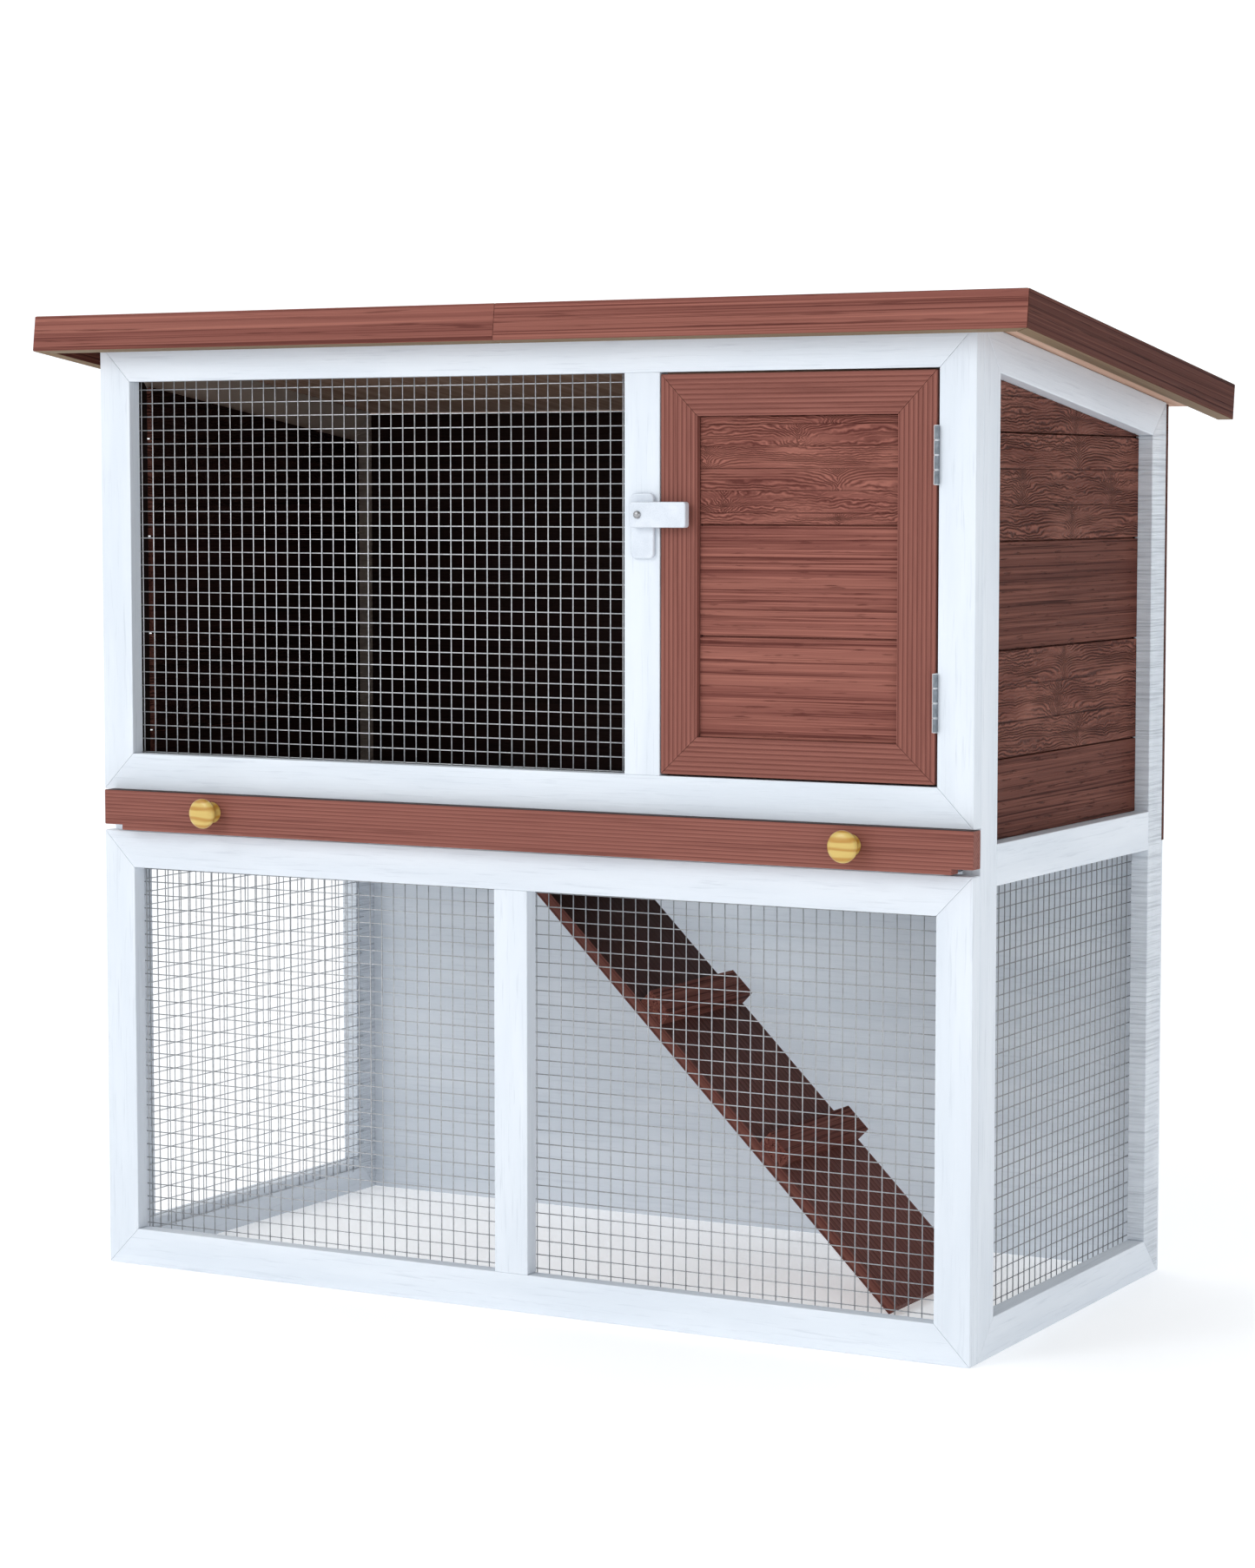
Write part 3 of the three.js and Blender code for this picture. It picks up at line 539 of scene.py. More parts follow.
def brushed_stain(name, turn, seed, tones=BROWN, strip=19.0, pitch=2.5, depth=0.9, strip_start=0.0,
                  inward=None):
    """Brown stain on a board glued up from strips, whose brushed grain peaks at a joint in each strip.

    Sizes are in millimetres: the height of a strip, the pitch of the grain lines, their relief, and
    the height at which the strips start.
    """
    f = Finish(name)
    place = f.coordinates(turn)
    split = f.add("ShaderNodeSeparateXYZ", {0: place})
    along, height = split.outputs["X"], split.outputs["Z"]
    counted = f.math("DIVIDE", f.math("SUBTRACT", height, strip_start * MM), strip * MM)
    number = f.math("ADD", f.math("FLOOR", counted), seed * NUMBERS_APART)
    peak = grain_peaks(f, along, number)
    line = grain_lines(f, place, height, peak, pitch, seed)
    shown = f.levels(f.noise(f.stretched(place, (12, 60, 120), seed + 5), 3), 0.36, 0.52, 0.25, 1.0)
    shown = f.math("MAXIMUM", shown, f.levels(peak, 0.3, 0.8))
    relief = f.math("MULTIPLY", f.math("SUBTRACT", 1.0, line), shown)
    from_middle = f.math("ABSOLUTE", f.math("SUBTRACT", f.math("FRACT", counted), 0.5))
    seam = f.levels(from_middle, 0.47, 0.5)
    streak = f.noise(f.stretched(place, (6, 240, 240), seed), 5, 0.6)
    band = f.add("ShaderNodeTexWhiteNoise", {"W": f.math("ADD", number, BAND_SHIFT)},
                 noise_dimensions="1D")
    cloud = f.noise(f.stretched(place, (9, 30, 30), seed), 3, 0.5, 0.4)
    tone = f.mix(f.levels(cloud, 0.35, 0.65), tones[1], tones[2])
    tone = f.mix(f.math("MULTIPLY", band.outputs["Value"], 0.25), tone, tones[0])
    # A painted highlight on the crests of the grain lines.
    crest_highlight = f.math("MULTIPLY", f.levels(line, 0.55, 1.0, 0, 0.45), shown)
    tone = f.mix(crest_highlight, tone, scaled(tones[2], 1.35))
    tone = f.mix(f.levels(relief, 0.55, 1.0, 0, 0.72), tone, tones[0])
    tone = f.mix(f.levels(streak, 0.5, 0.68, 0, 0.4), tone, tones[0])
    tone = f.mix(f.math("MULTIPLY", seam, f.levels(streak, 0.4, 0.6, 0.25, 0.9)), tone, tones[0])
    tone = f.mix(f.math("MULTIPLY", f.edges(EDGE_RADIUS), 0.4), tone, tones[2])
    # Faces that look into the cabin get dark painted shade.
    if inward:
        tone = cabin_painted_shade(f, tone, inward)
    f.set(base_color=tone, roughness=f.levels(line, 0, 1, 0.55, 0.68), specular=0.05)
    surface = f.math("SUBTRACT", f.math("SUBTRACT", f.math("MULTIPLY", streak, 0.6), relief), seam)
    f.set(normal=f.bump(surface, depth * MM, 0.9))
    return f.material


def bare_wood(name, turn, seed):
    """Unpainted softwood, with painted shade where it is the ceiling of the cabin."""
    f = Finish(name)
    place = f.coordinates(turn)
    ring = f.noise(f.stretched(place, (3, 90, 90), seed), 5, 0.6, 0.6)
    pore = f.noise(f.stretched(place, (30, 900, 900), seed), 2)
    tone = f.mix(f.levels(ring, 0.35, 0.68), DECK_WOOD[0], DECK_WOOD[1])
    tone = f.mix(f.levels(pore, 0.6, 0.8, 0, 0.4), tone, DECK_WOOD[2])
    # Painted shade over the part of the deck that is the cabin's ceiling.
    split = f.add("ShaderNodeSeparateXYZ", {0: f.coordinates()})
    between_sides = f.math("LESS_THAN", f.math("ABSOLUTE", split.outputs["X"]), CABIN_HALF_WIDTH)
    behind_front = f.math("GREATER_THAN", split.outputs["Y"], CABIN_FRONT)
    ceiling_shade_mask = f.math("MULTIPLY", between_sides, behind_front)
    tone = f.mix(f.math("MULTIPLY", ceiling_shade_mask, 0.4), tone, CABIN_CEILING_PAINTED_SHADE)
    f.set(base_color=tone, roughness=f.levels(ring, 0.3, 0.7, 0.6, 0.75), specular=0.25)
    f.set(normal=f.bump(ring, 0.3 * MM, 0.5))
    return f.material


PINE_RING = 8.5 * MM  # from one growth ring to the next


def pine(name, seed):
    """Clear-varnished yellow pine with level growth rings."""
    f = Finish(name)
    place = f.coordinates()
    drift = f.noise(f.stretched(place, (14, 60, 90), seed), 2, 0.5)
    height = f.add("ShaderNodeSeparateXYZ", {0: place}).outputs["Z"]
    turns = f.math("MULTIPLY_ADD", height, 2 * math.pi / PINE_RING, f.math("MULTIPLY", drift, 9))
    ring = f.math("MULTIPLY_ADD", f.math("SINE", turns), 0.5, 0.5)
    fibre = f.noise(f.stretched(place, (60, 500, 1100), seed), 3)
    tone = f.mix(f.levels(ring, 0.4, 1.0), PINE[0], PINE[1])
    tone = f.mix(f.levels(fibre, 0.55, 0.8, 0, 0.35), tone, PINE[2])
    f.set(base_color=tone, roughness=f.levels(fibre, 0.3, 0.7, 0.28, 0.42), coat=0.25,
          coat_roughness=0.2)
    f.set(normal=f.bump(fibre, 0.12 * MM, 0.4))
    return f.material


# ---------------------------------------------------------------- finishes: metal, plastic, felt, floor

DOOR_HINGE_X = 415.05 * MM  # the hinge's axis
KNUCKLE_PITCH = 12.5 * MM
# Painted highlights on the hinge: at the gaps between knuckles and along the rolled edge.
KNUCKLE_GAP = 0.05  # of the pitch, at each end of a knuckle
ROLLED_EDGE = 0.9 * MM  # from the hinge's axis


def galvanised(name, colour, seed, spangle, roughness, metallic=0.85):
    """Zinc-coated steel. Spangle is how fine its bloom is, in marks to the metre."""
    f = Finish(name)
    place = f.coordinates()
    bloom = f.noise(f.stretched(place, (spangle,) * 3, seed), 3)
    scuff = f.noise(f.stretched(place, (spangle * 5,) * 3, seed), 2)
    tone = f.mix(f.levels(bloom, 0.35, 0.7), colour, scaled(colour, 0.72))
    f.set(base_color=tone, metallic=metallic)
    f.set(roughness=f.levels(scuff, 0.3, 0.7, roughness - 0.08, roughness + 0.1))
    f.set(normal=f.bump(bloom, 0.06 * MM, 0.5))
    return f.material


def hinge_steel(name, node, seed):
    """Dull steel knuckles, with painted highlights along the rolled edge and in the gaps between them.
    """
    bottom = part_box(node)[0][2]
    f = Finish(name)
    place = f.add("ShaderNodeSeparateXYZ", {0: f.coordinates()})
    counted = f.math("DIVIDE", f.math("SUBTRACT", place.outputs["Z"], bottom), KNUCKLE_PITCH)
    from_middle = f.math("ABSOLUTE", f.math("SUBTRACT", f.math("FRACT", counted), 0.5))
    # Painted highlights: the gaps between knuckles and the rolled edge get the bright steel tone.
    gap = f.math("GREATER_THAN", from_middle, 0.5 - KNUCKLE_GAP)
    edge = f.math("LESS_THAN", place.outputs["X"], DOOR_HINGE_X - ROLLED_EDGE)
    bloom = f.noise(f.stretched(f.coordinates(), (260, 260, 260), seed), 3)
    tone = f.mix(f.levels(bloom, 0.35, 0.7), HINGE_STEEL[0], HINGE_STEEL[1])
    f.set(base_color=f.mix(f.math("MAXIMUM", gap, edge), tone, HINGE_STEEL[2]), metallic=0.6)
    f.set(roughness=f.levels(bloom, 0.3, 0.7, 0.34, 0.46), normal=f.bump(bloom, 0.05 * MM, 0.5))
    return f.material


def white_plastic(name, seed):
    f = Finish(name)
    place = f.coordinates()
    orange_peel = f.noise(f.stretched(place, (900, 900, 900), seed), 2)
    cloud = f.noise(f.stretched(place, (60, 60, 60), seed), 2)
    tone = f.mix(f.levels(cloud, 0.35, 0.65), *PLASTIC)
    f.set(base_color=tone, roughness=f.levels(orange_peel, 0.3, 0.7, 0.24, 0.36))
    f.set(normal=f.bump(orange_peel, 0.03 * MM, 0.5))
    return f.material


def mineral_felt(name, seed):
    """Roofing felt with a coat of fine slate grit."""
    f = Finish(name)
    place = f.coordinates()
    cells = f.add("ShaderNodeTexVoronoi", {"Vector": place, "Scale": 900.0})
    cloud = f.noise(f.stretched(place, (14, 14, 14), seed), 3)
    lay = f.noise(f.stretched(place, (5, 40, 5), seed), 2)
    tone = f.mix(f.levels(cells.outputs["Color"], 0.2, 0.9), FELT[0], FELT[1])
    tone = f.mix(f.levels(cloud, 0.4, 0.7, 0, 0.3), tone, FELT[2])
    f.set(base_color=tone, roughness=f.levels(cloud, 0.3, 0.7, 0.85, 0.95), specular=0.2)
    grit = f.bump(cells.outputs["Distance"], 0.5 * MM, 0.6)
    f.set(normal=f.bump(lay, 1.5 * MM, 0.3, grit))
    return f.material


def floor_finish():
    f = Finish("floor_finish")
    place = f.coordinates()
    cloud = f.noise(f.stretched(place, (2, 2, 2)), 2)
    f.set(base_color=f.mix(cloud, *FLOOR_WHITE), roughness=0.8, specular=0.1,
          glow=(1, 1, 1, 1), glow_strength=FLOOR_GLOW)
    return f.material


# ---------------------------------------------------------------- the CAD pieces that keep their shape

# How much edges are rounded, in millimetres: timber, thin panels, sheet steel and hinge leaves.
TIMBER_ROUNDING, PANEL_ROUNDING, SHEET_ROUNDING, LEAF_ROUNDING = 0.8, 0.5, 0.2, 0.15
FASCIA_LENGTH = 3  # the fascias' streaks are this many times as long as the other boards'


def dress(node, finish, round_by=TIMBER_ROUNDING):
    """Puts a finish on a CAD node's object and rounds its edges.

    The number after a finish's name or turn is its seed, which tells its marks from the other pieces'.
    """
    thing = NODES[node]
    for slot in thing.material_slots:
        slot.material = finish
    soften(thing, round_by)


def dress_front_frames():
    seed = 0
    for frame_name in ("lower_front", "upper_front"):
        for member, turn in (("rail_bottom", ALONG_X), ("rail_top", ALONG_X), ("stile_left", ALONG_Z),
                             ("stile_right", ALONG_Z), ("upright", ALONG_Z)):
            seed += 1
            node = f"{frame_name}_{member}"
            dress(node, white_paint(f"{node}_paint", turn, seed))


def dress_side_frames():
    seed = 20
    for side, inward in (("side_left", EAST), ("side_right", WEST)):
        for member, turn in (("rail_bottom", ALONG_Y), ("rail_middle", ALONG_Y),
                             ("rail_top", ALONG_ROOF)):
            seed += 1
            node = f"{side}_{member}"
            dress(node, white_paint(f"{node}_paint", turn, seed, inward))
        node = f"{side}_stile_front"
        dress(node, white_paint(f"{node}_paint", ALONG_Z, seed + 5, inward, CABIN_PAINTED_SHADE_DARK))
        node = f"{side}_stile_rear"
        dress(node, rough_white_paint(f"{node}_paint", ALONG_Z, seed + 10, inward))


def dress_back():
    dress("back_panel_upper",
          streaked_stain("back_panel_upper_stain", ALONG_X, 41, FASCIA_BROWN, inward=SOUTH))
    dress("back_panel_lower", white_paint("back_panel_lower_paint", ALONG_X, 42), PANEL_ROUNDING)
    dress("rear_cross_rail", white_paint("rear_cross_rail_paint", ALONG_X, 43))
    dress("ramp_bearer", white_paint("ramp_bearer_paint", ALONG_Y, 44))


def dress_roof():
    dress("roof_deck", bare_wood("roof_deck_wood", ALONG_ROOF, 51))
    dress("roof_felt", mineral_felt("roof_felt_mineral", 52), PANEL_ROUNDING)
    for half, seed in (("left", 53), ("right", 54)):
        dress(f"roof_fascia_front_{half}",
              streaked_stain(f"roof_fascia_front_{half}_stain", ALONG_X, seed, bare_below=True,
                             length=FASCIA_LENGTH))
        dress(f"roof_fascia_{half}",
              streaked_stain(f"roof_fascia_{half}_stain", ALONG_ROOF, seed + 4, FASCIA_BROWN,
                             bare_below=True, length=FASCIA_LENGTH))


def dress_door():
    for place in ("upper", "lower"):
        for leaf in ("frame_leaf", "door_leaf"):
            node = f"hinge_{place}_{leaf}"
            finish = hinge_steel(f"{node}_steel", f"hinge_{place}_frame_leaf", 65)
            dress(node, finish, LEAF_ROUNDING)


def dress_tray():
    # The tray board's top face gets a painted shadow of the gap above it.
    dress("tray_front_board",
          reeded_stain("tray_front_board_stain", ALONG_X, 71, pitch=3.4, depth=0.12,
                       top_shade=TRAY_TOP_PAINTED_SHADOW))
    dress("tray_pan", galvanised("tray_pan_zinc", TRAY_ZINC, 72, spangle=45, roughness=0.42),
          SHEET_ROUNDING)


def dress_ramp():
    # The ramp's upward faces get painted shade, darker higher up.
    dress("ramp_board",
          reeded_stain("ramp_board_stain", ALONG_RAMP, 81, RAMP_BROWN, pitch=7.5, depth=0.5,
                       top_shade=RAMP_TOP_PAINTED_SHADE))
    for cleat in ("upper", "lower"):
        node = f"ramp_cleat_{cleat}"
        dress(node, streaked_stain(f"{node}_stain", ALONG_Y, 82, RAMP_BROWN))
    for leaf in ("fixed", "moving"):
        node = f"ramp_hinge_{leaf}_leaf"
        finish = galvanised(f"{node}_steel", RAMP_HINGE_STEEL, 84, spangle=260, roughness=0.3)
        dress(node, finish, LEAF_ROUNDING)


# ---------------------------------------------------------------- welded wire mesh

WIRE_RADIUS = 0.5 * MM
WIRE_PITCH = 12.7 * MM
WIRE_SIDES = 6
# The two layers of wires are this far from the panel's middle, so that they bite at the welds.
WIRE_OFFSET = WIRE_RADIUS * 0.92
WIRE_LEAN = 0.08 * MM  # the most that each end of a wire is aside of its place
WIRE_TRIM = WIRE_PITCH * 0.5  # the most that a wire's end is short of the panel's edge
SKEW = Vector((0.3, 0.5, 0.8))  # a direction that no wire runs in
# Of each panel: the axis of its thickness, and where one upright and one level wire are.
WIRE_PANELS = {"window": (1, -0.4145, 0.836), "run_left": (1, -0.4145, 0.381),
               "run_right": (1, -0.4145, 0.381), "side_left": (0, -0.160, 0.381),
               "side_right": (0, -0.160, 0.381)}


def steps(low, high, through):
    """The positions from low to high, one pitch apart, that pass through a given one."""
    first = math.ceil((low - through) / WIRE_PITCH)
    last = math.floor((high - through) / WIRE_PITCH)
    return [through + WIRE_PITCH * i for i in range(first, last + 1)]


def add_wire(points, faces, start, end):
    """Adds a thin straight rod, closed at both ends."""
    start, end = Vector(start), Vector(end)
    run = (end - start).normalized()
    side = run.cross(SKEW).normalized()
    up = run.cross(side)
    base = len(points)
    for centre in (start, end):
        for s in range(WIRE_SIDES):
            a = 2 * math.pi * s / WIRE_SIDES
            points.append(centre + WIRE_RADIUS * (math.cos(a) * side + math.sin(a) * up))
    for s in range(WIRE_SIDES):
        t = (s + 1) % WIRE_SIDES
        faces.append((base + s, base + t, base + WIRE_SIDES + t, base + WIRE_SIDES + s))
    faces.append(tuple(base + s for s in range(WIRE_SIDES))[::-1])
    faces.append(tuple(base + WIRE_SIDES + s for s in range(WIRE_SIDES)))


def wire_panel(name, flat, upright, level):
    """A welded panel in the place of a CAD mesh node. Flat is the axis of its thickness, 0 or 1."""
    low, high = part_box(f"mesh_{name}")
    along = 1 - flat
    middle = (low[flat] + high[flat]) / 2
    outward = -1 if flat == 1 else math.copysign(1, middle)
    rng = random.Random(sum(map(ord, name)))

    def place(run, height, depth):
        point = [0.0, 0.0, height]
        point[along] = run
        point[flat] = middle + outward * depth
        return point

    points, faces = [], []
    for run in steps(low[along], high[along], upright):
        lean = rng.uniform(-WIRE_LEAN, WIRE_LEAN)
        foot = place(run + lean, low[2] + WIRE_TRIM * rng.random(), WIRE_OFFSET)
        head = place(run - lean, high[2] - WIRE_TRIM * rng.random(), WIRE_OFFSET)
        add_wire(points, faces, foot, head)
    for height in steps(low[2], high[2], level):
        lean = rng.uniform(-WIRE_LEAN, WIRE_LEAN)
        first = place(low[along] + WIRE_TRIM * rng.random(), height + lean, -WIRE_OFFSET)
        last = place(high[along] - WIRE_TRIM * rng.random(), height - lean, -WIRE_OFFSET)
        add_wire(points, faces, first, last)
    panel = make_object(f"wire_{name}", points, faces, smooth=True)
    # Each panel's zinc is lighter or darker by painted light and shade.
    grey = WIRE_GREY_WITH_PAINTED_LIGHT[name]
    finish = galvanised(f"wire_{name}_zinc", rgb(grey - 2, grey, grey + 3), 91, spangle=420,
                        roughness=0.38, metallic=0.5)
    attach(panel, "body", finish, [f"mesh_{name}"])


def make_wire_mesh():
    for name, settings in WIRE_PANELS.items():
        wire_panel(name, *settings)


# ---------------------------------------------------------------- cladding and door boards

BOARD_JOINTS = [511.2 * MM + 93.2 * MM * i for i in range(4)]
BOARD_GAP = 1.3 * MM
BOARD_ROUNDING = 0.8  # millimetres
TONGUE_REACH = 2 * MM
TONGUE_INSET = 0.44  # of the board's thickness
TONGUE_SHORT = 1 * MM  # at each end
SIDE_TOP_SLOPE = math.tan(ROOF_PITCH)
STREAKED_BOARDS = (0, 2)  # counted from the bottom; the other boards show stronger brushed grain
STREAK_DEPTH = 0.8  # millimetres, as are the sizes below
BRUSHED_STRIP, BRUSHED_PITCH, BRUSHED_DEPTH = 31.07, 2.9, 1.6


def clip(outline, level, keep_above):
    """The part of a convex (y, z) outline above or below a level."""
    kept = []
    for i, (y, z) in enumerate(outline):
        last_y, last_z = outline[i - 1]
        inside = (z >= level) == keep_above
        was_inside = (last_z >= level) == keep_above
        if inside != was_inside:
            t = (level - last_z) / (z - last_z)
            kept.append((last_y + t * (y - last_y), level))
        if inside:
            kept.append((y, z))
    return kept


def add_tongue(board, low, high, level, flat):
    """Adds the tongue that closes the gap above a board, so that no light passes there.

    Level is the middle of the gap, and flat is the axis of the board's thickness, 0 or 1.
    """
    inset = [TONGUE_SHORT, TONGUE_SHORT]
    inset[flat] = TONGUE_INSET * (high[flat] - low[flat])
    front, rear = low[1] + inset[1], high[1] - inset[1]
    bottom, top = level - TONGUE_REACH, level + TONGUE_REACH
    outline = [(front, bottom), (rear, bottom), (rear, top), (front, top)]
    tongue = prism("tongue", outline, low[0] + inset[0], high[0] - inset[0])
    joined = bmesh.new()
    joined.from_mesh(board.data)
    joined.from_mesh(tongue.data)
    joined.to_mesh(board.data)
    joined.free()
    bpy.data.objects.remove(tongue)


def board_finish(name, index, seed, inward):
    """The stain of a cladding board. Index counts from the bottom."""
    if index in STREAKED_BOARDS:
        return streaked_stain(name, ALONG_Y, seed, SIDE_BROWN, STREAK_DEPTH, inward)
    return brushed_stain(name, ALONG_Y, seed, BRUSHED_SIDE_BROWN, BRUSHED_STRIP, BRUSHED_PITCH,
                         BRUSHED_DEPTH, BOARD_JOINTS[0] / MM, inward)


def make_cladding():
    half_gap = BOARD_GAP / 2
    for side, seed, inward in (("left", 100, EAST), ("right", 120, WEST)):
        node = f"side_{side}_boards"
        low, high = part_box(node)
        rear_top = high[2] - (high[1] - low[1]) * SIDE_TOP_SLOPE
        outline = [(low[1], low[2]), (high[1], low[2]), (high[1], rear_top), (low[1], high[2])]
        levels = [low[2] - half_gap] + BOARD_JOINTS + [high[2] + half_gap]
        for i in range(len(levels) - 1):
            shape = clip(clip(outline, levels[i] + half_gap, True), levels[i + 1] - half_gap, False)
            board = prism(f"side_{side}_board_{i + 1}", shape, low[0], high[0])
            if i < len(BOARD_JOINTS):
                add_tongue(board, low, high, BOARD_JOINTS[i], 0)
            finish = board_finish(f"{board.name}_stain", i, seed + i, inward)
            attach(board, "body", finish, [node])
            soften(board, BOARD_ROUNDING)


def make_door_boards():
    finishes = {"top": brushed_stain("door_board_top_stain", ALONG_X, 62),
                "middle": streaked_stain("door_board_middle_stain", ALONG_X, 63),
                "bottom": streaked_stain("door_board_bottom_stain", ALONG_X, 64)}
    for place, finish in finishes.items():
        low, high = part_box(f"door_board_{place}")
        bottom = low[2] + (0 if place == "bottom" else BOARD_GAP / 2)
        top = high[2] - (0 if place == "top" else BOARD_GAP / 2)
        outline = [(low[1], bottom), (high[1], bottom), (high[1], top), (low[1], top)]
        board = prism(f"door_panel_{place}", outline, low[0], high[0])
        if place != "top":
            add_tongue(board, low, high, high[2], 1)
        attach(board, "door", finish, [f"door_board_{place}"])
        soften(board, BOARD_ROUNDING)


# ---------------------------------------------------------------- the door's grooved frame

GROOVE_PITCH = REED_PITCH * MM
GROOVE_PHASE = 0.68  # where in a pitch the stain's dark lines run, so that the grooves follow them
GROOVE_COUNT = 500  # pitches to look at either side of the origin, more than the door is wide or high
GROOVE_HALF_WIDTH = 0.5 * MM
GROOVE_DEPTH = 0.35 * MM
GROOVE_MARGIN = 1.4 * MM  # the least from a groove's middle to a member's edge
MEMBER_EDGE = [(0.0, 0.6 * MM), (0.18 * MM, 0.18 * MM), (0.6 * MM, 0.0)]  # (distance in, depth)
MITRE_GAP = 0.3 * MM  # at each end of a member


def groove_profile(outer, inner, front, sign):
    """(share of the way from the outer to the inner edge, depth) of a member's grooved front.

    Outer and inner are the edges' places across the grain, and sign is how the stain counts them.
    """
    width = abs(inner - outer)
    marks = []
    for k in range(-GROOVE_COUNT, GROOVE_COUNT):
        place = sign * ((k + GROOVE_PHASE) * GROOVE_PITCH - front)
        distance = (place - outer) * math.copysign(1, inner - outer)
        if GROOVE_MARGIN < distance < width - GROOVE_MARGIN:
            marks.append(distance)
    points = list(MEMBER_EDGE)
    for distance in sorted(marks):
        points += [(distance - GROOVE_HALF_WIDTH, 0.0), (distance, GROOVE_DEPTH),
                   (distance + GROOVE_HALF_WIDTH, 0.0)]
    points += [(width - distance, depth) for distance, depth in reversed(MEMBER_EDGE)]
    return [(distance / width, depth) for distance, depth in points]


def member_end(outer, inner, gap, front, section):
    """The points of a member's mitred end at two (x, z) corners, moved by the gap."""
    points = []
    for share, depth in section:
        x, z = outer + (inner - outer) * share + gap
        points.append((x, front + depth, z))
    return points


def grooved_member(name, outer, inner, front, back, profile):
    """A mitred member. Outer and inner are its edges in the door's plane: two (x, z) ends each."""
    gap = (outer[1] - outer[0]).normalized() * MITRE_GAP
    section = profile + [(1.0, back - front), (0.0, back - front)]
    start = member_end(outer[0], inner[0], gap, front, section)
    end = member_end(outer[1], inner[1], -gap, front, section)
    count = len(section)
    faces = [tuple(range(count)), tuple(range(count, 2 * count))[::-1]]
    for i in range(count):
        j = (i + 1) % count
        faces.append((i, count + i, count + j, j))
    member = make_object(name, start + end, faces)
    tool = bmesh.new()
    tool.from_mesh(member.data)
    bmesh.ops.recalc_face_normals(tool, faces=tool.faces)
    tool.to_mesh(member.data)
    tool.free()
    return member


def door_corners():
    """The outer and inner (x, z) corners of the door's frame, and the y of its front and back."""
    left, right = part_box("door_stile_left"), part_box("door_stile_right")
    bottom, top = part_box("door_rail_bottom"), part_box("door_rail_top")

    def corners(x0, x1, z0, z1):
        return {"lower left": Vector((x0, z0)), "lower right": Vector((x1, z0)),
                "upper right": Vector((x1, z1)), "upper left": Vector((x0, z1))}

    outer = corners(left[0][0], right[1][0], bottom[0][2], top[1][2])
    inner = corners(left[1][0], right[0][0], bottom[1][2], top[0][2])
    return outer, inner, left[0][1], left[1][1]


# Of each member: the corners that it runs between, the axis across it in the door's plane, its grain's
# turn, and the sign of that axis in the turned coordinates.
DOOR_MEMBERS = {
    "rail_bottom": ("lower left", "lower right", 1, ALONG_X, 1),
    "rail_top": ("upper left", "upper right", 1, ALONG_X, 1),
    "stile_left": ("lower left", "upper left", 0, ALONG_Z, -1),
    "stile_right": ("lower right", "upper right", 0, ALONG_Z, -1),
}


def make_door_frame():
    outer, inner, front, back = door_corners()
    for member, (start, end, axis, turn, sign) in DOOR_MEMBERS.items():
        profile = groove_profile(outer[start][axis], inner[start][axis], front, sign)
        piece = grooved_member(f"door_frame_{member}", (outer[start], outer[end]),
                               (inner[start], inner[end]), front, back, profile)
        attach(piece, "door", reeded_stain(f"door_{member}_stain", turn, 61),
               [f"door_{member}"])


# ---------------------------------------------------------------- knobs and turn button

# Radius and distance in front of the tray board, in millimetres.
KNOB_PROFILE = [(0.5, 0.0), (9.4, 0.0), (9.75, 0.5), (9.7, 1.6), (9.3, 3.4), (9.2, 5.4), (9.4, 7.6),
                (10.0, 9.8), (11.2, 11.8), (12.7, 13.4), (13.7, 14.7), (14.0, 16.0), (13.8, 17.3),
                (13.1, 18.6), (11.8, 19.7), (9.6, 20.5), (6.8, 21.0), (3.4, 21.35), (0.3, 21.45)]
KNOB_SEGMENTS = 56
CORNER_STEPS = 8
# The radius of the corners on the left and on the right.
BASE_CORNERS = (5 * MM, 5 * MM)
BAR_CORNERS = (3.5 * MM, 2.5 * MM)
BASE_ROUNDING, BAR_ROUNDING = 1.6, 1.4  # millimetres
PLASTIC_SEGMENTS = 4
SCREW_HEAD_SHARE = 0.75  # of the CAD screw's width
SCREW_SHANK = 2.3  # radius in millimetres
SCREW_SEGMENTS = 32


def back_centre(low, high):
    """The middle of the rear face of a box."""
    return ((low[0] + high[0]) / 2, high[1], (low[2] + high[2]) / 2)


def make_knobs():
    for side, seed in (("left", 130), ("right", 131)):
        node = f"tray_knob_{side}"
        profile = [(r * MM, d * MM) for r, d in KNOB_PROFILE]
        knob = turned(f"turned_knob_{side}", profile, back_centre(*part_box(node)), KNOB_SEGMENTS)
        attach(knob, "tray", pine(f"knob_{side}_pine", seed), [node])


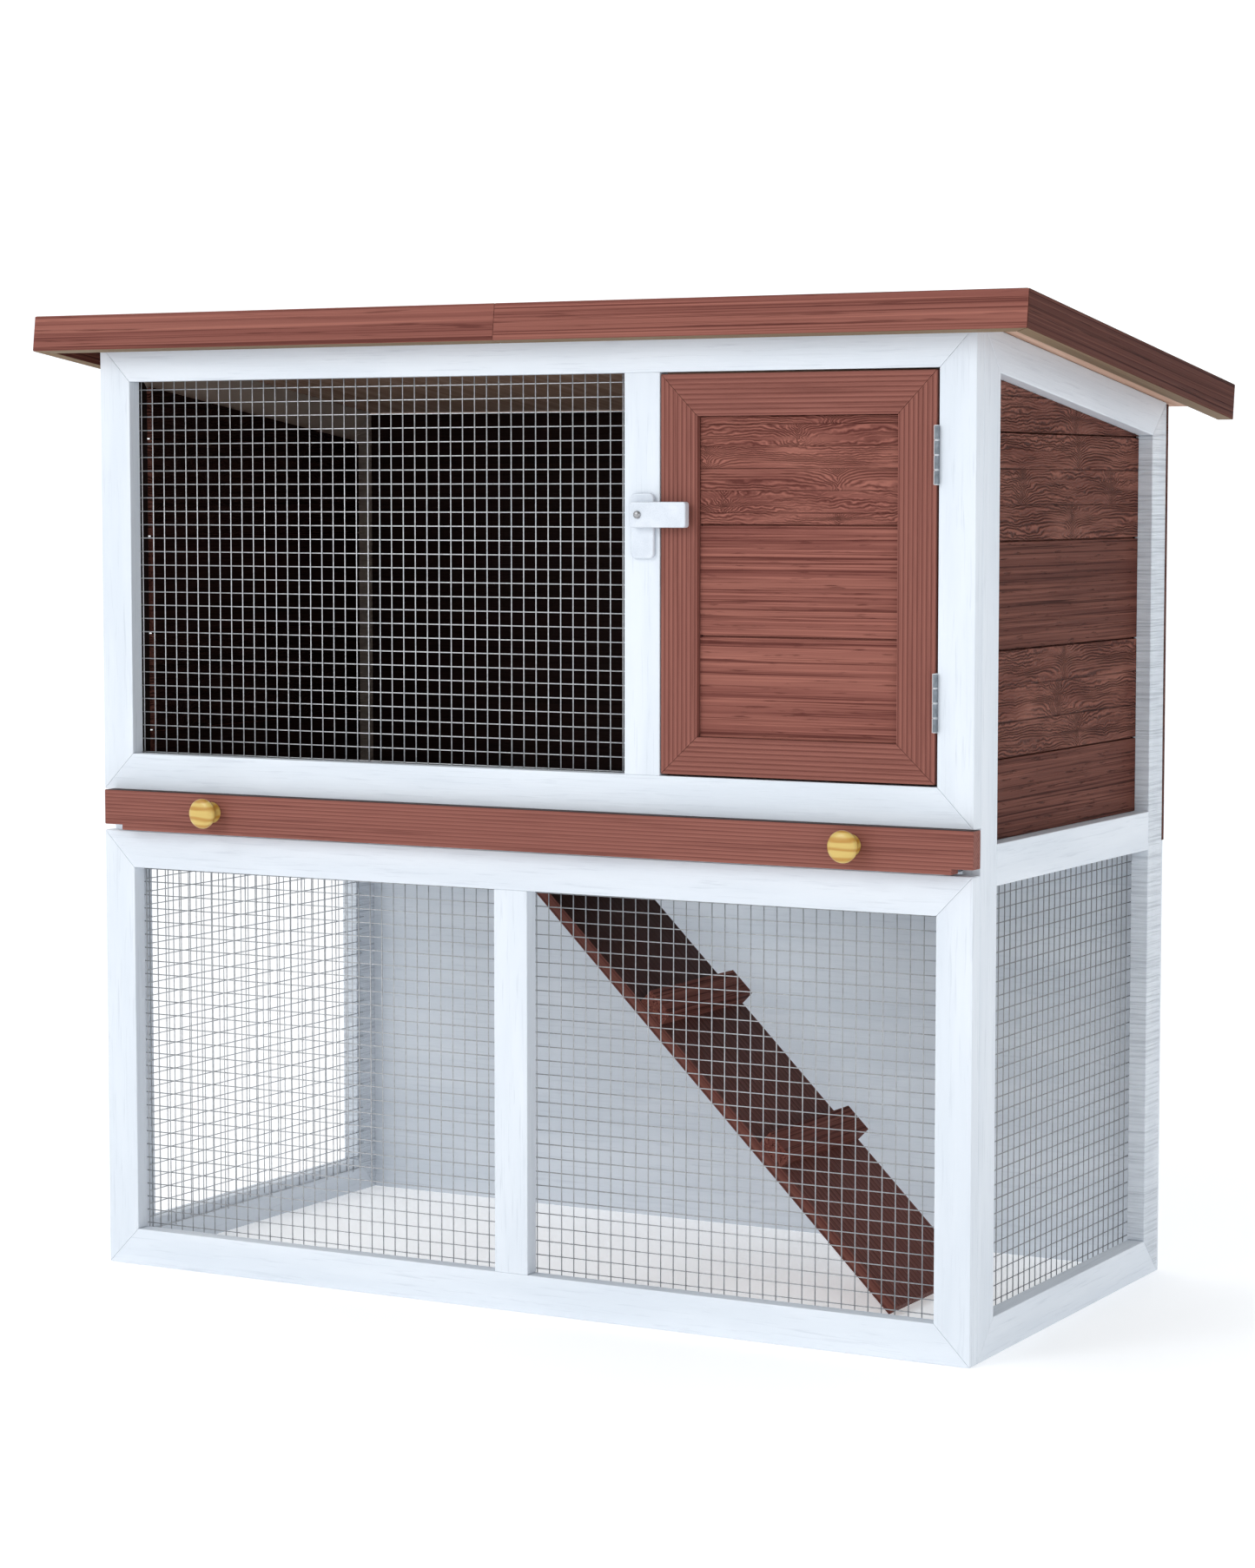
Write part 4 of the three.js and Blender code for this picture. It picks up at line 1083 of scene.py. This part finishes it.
def rounded(low, high, left_radius, right_radius):
    """A box's front (x, z) outline with rounded corners, counter-clockwise seen from the front."""
    left, right, bottom, top = low[0], high[0], low[2], high[2]
    outline = []
    for x, z, radius, start in ((left, bottom, left_radius, 180), (right, bottom, right_radius, 270),
                                (right, top, right_radius, 0), (left, top, left_radius, 90)):
        inward_x = radius if x == left else -radius
        inward_z = radius if z == bottom else -radius
        for i in range(CORNER_STEPS + 1):
            a = math.radians(start + 90 * i / CORNER_STEPS)
            outline.append((x + inward_x + radius * math.cos(a),
                            z + inward_z + radius * math.sin(a)))
    return outline


def make_turn_button():
    for part, node, body, corners, rounding, seed in (
            ("base", "latch_plate", "body", BASE_CORNERS, BASE_ROUNDING, 140),
            ("bar", "latch_bar", "turn_button", BAR_CORNERS, BAR_ROUNDING, 141)):
        low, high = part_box(node)
        piece = plate(f"turn_button_{part}", rounded(low, high, *corners), low[1], high[1])
        finish = white_plastic(f"turn_button_{part}_plastic", seed)
        attach(piece, body, finish, [node])
        soften(piece, rounding, PLASTIC_SEGMENTS)


def make_screw():
    """The turn button's round-headed screw. Its profile is in millimetres until the last."""
    low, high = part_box("latch_screw")
    depth = (high[1] - low[1]) / MM
    head = (high[0] - low[0]) / 2 / MM * SCREW_HEAD_SHARE
    profile = [(0.3, 0), (SCREW_SHANK, 0), (SCREW_SHANK, depth - 2.5), (head, depth - 2.5),
               (head, depth - 1.9), (head * 0.93, depth - 1.2), (head * 0.72, depth - 0.5),
               (head * 0.45, depth - 0.1), (0.3, depth)]
    profile = [(radius * MM, ahead * MM) for radius, ahead in profile]
    screw = turned("turn_button_screw", profile, back_centre(low, high), SCREW_SEGMENTS)
    finish = galvanised("screw_steel", SCREW_STEEL, 142, spangle=300, roughness=0.3)
    attach(screw, "body", finish, ["latch_screw"])


# ---------------------------------------------------------------- the hutch

make_camera()
make_studio()
dress_front_frames()
dress_side_frames()
dress_back()
dress_roof()
dress_door()
dress_tray()
dress_ramp()
make_wire_mesh()
make_cladding()
make_door_boards()
make_door_frame()
make_knobs()
make_turn_button()
make_screw()
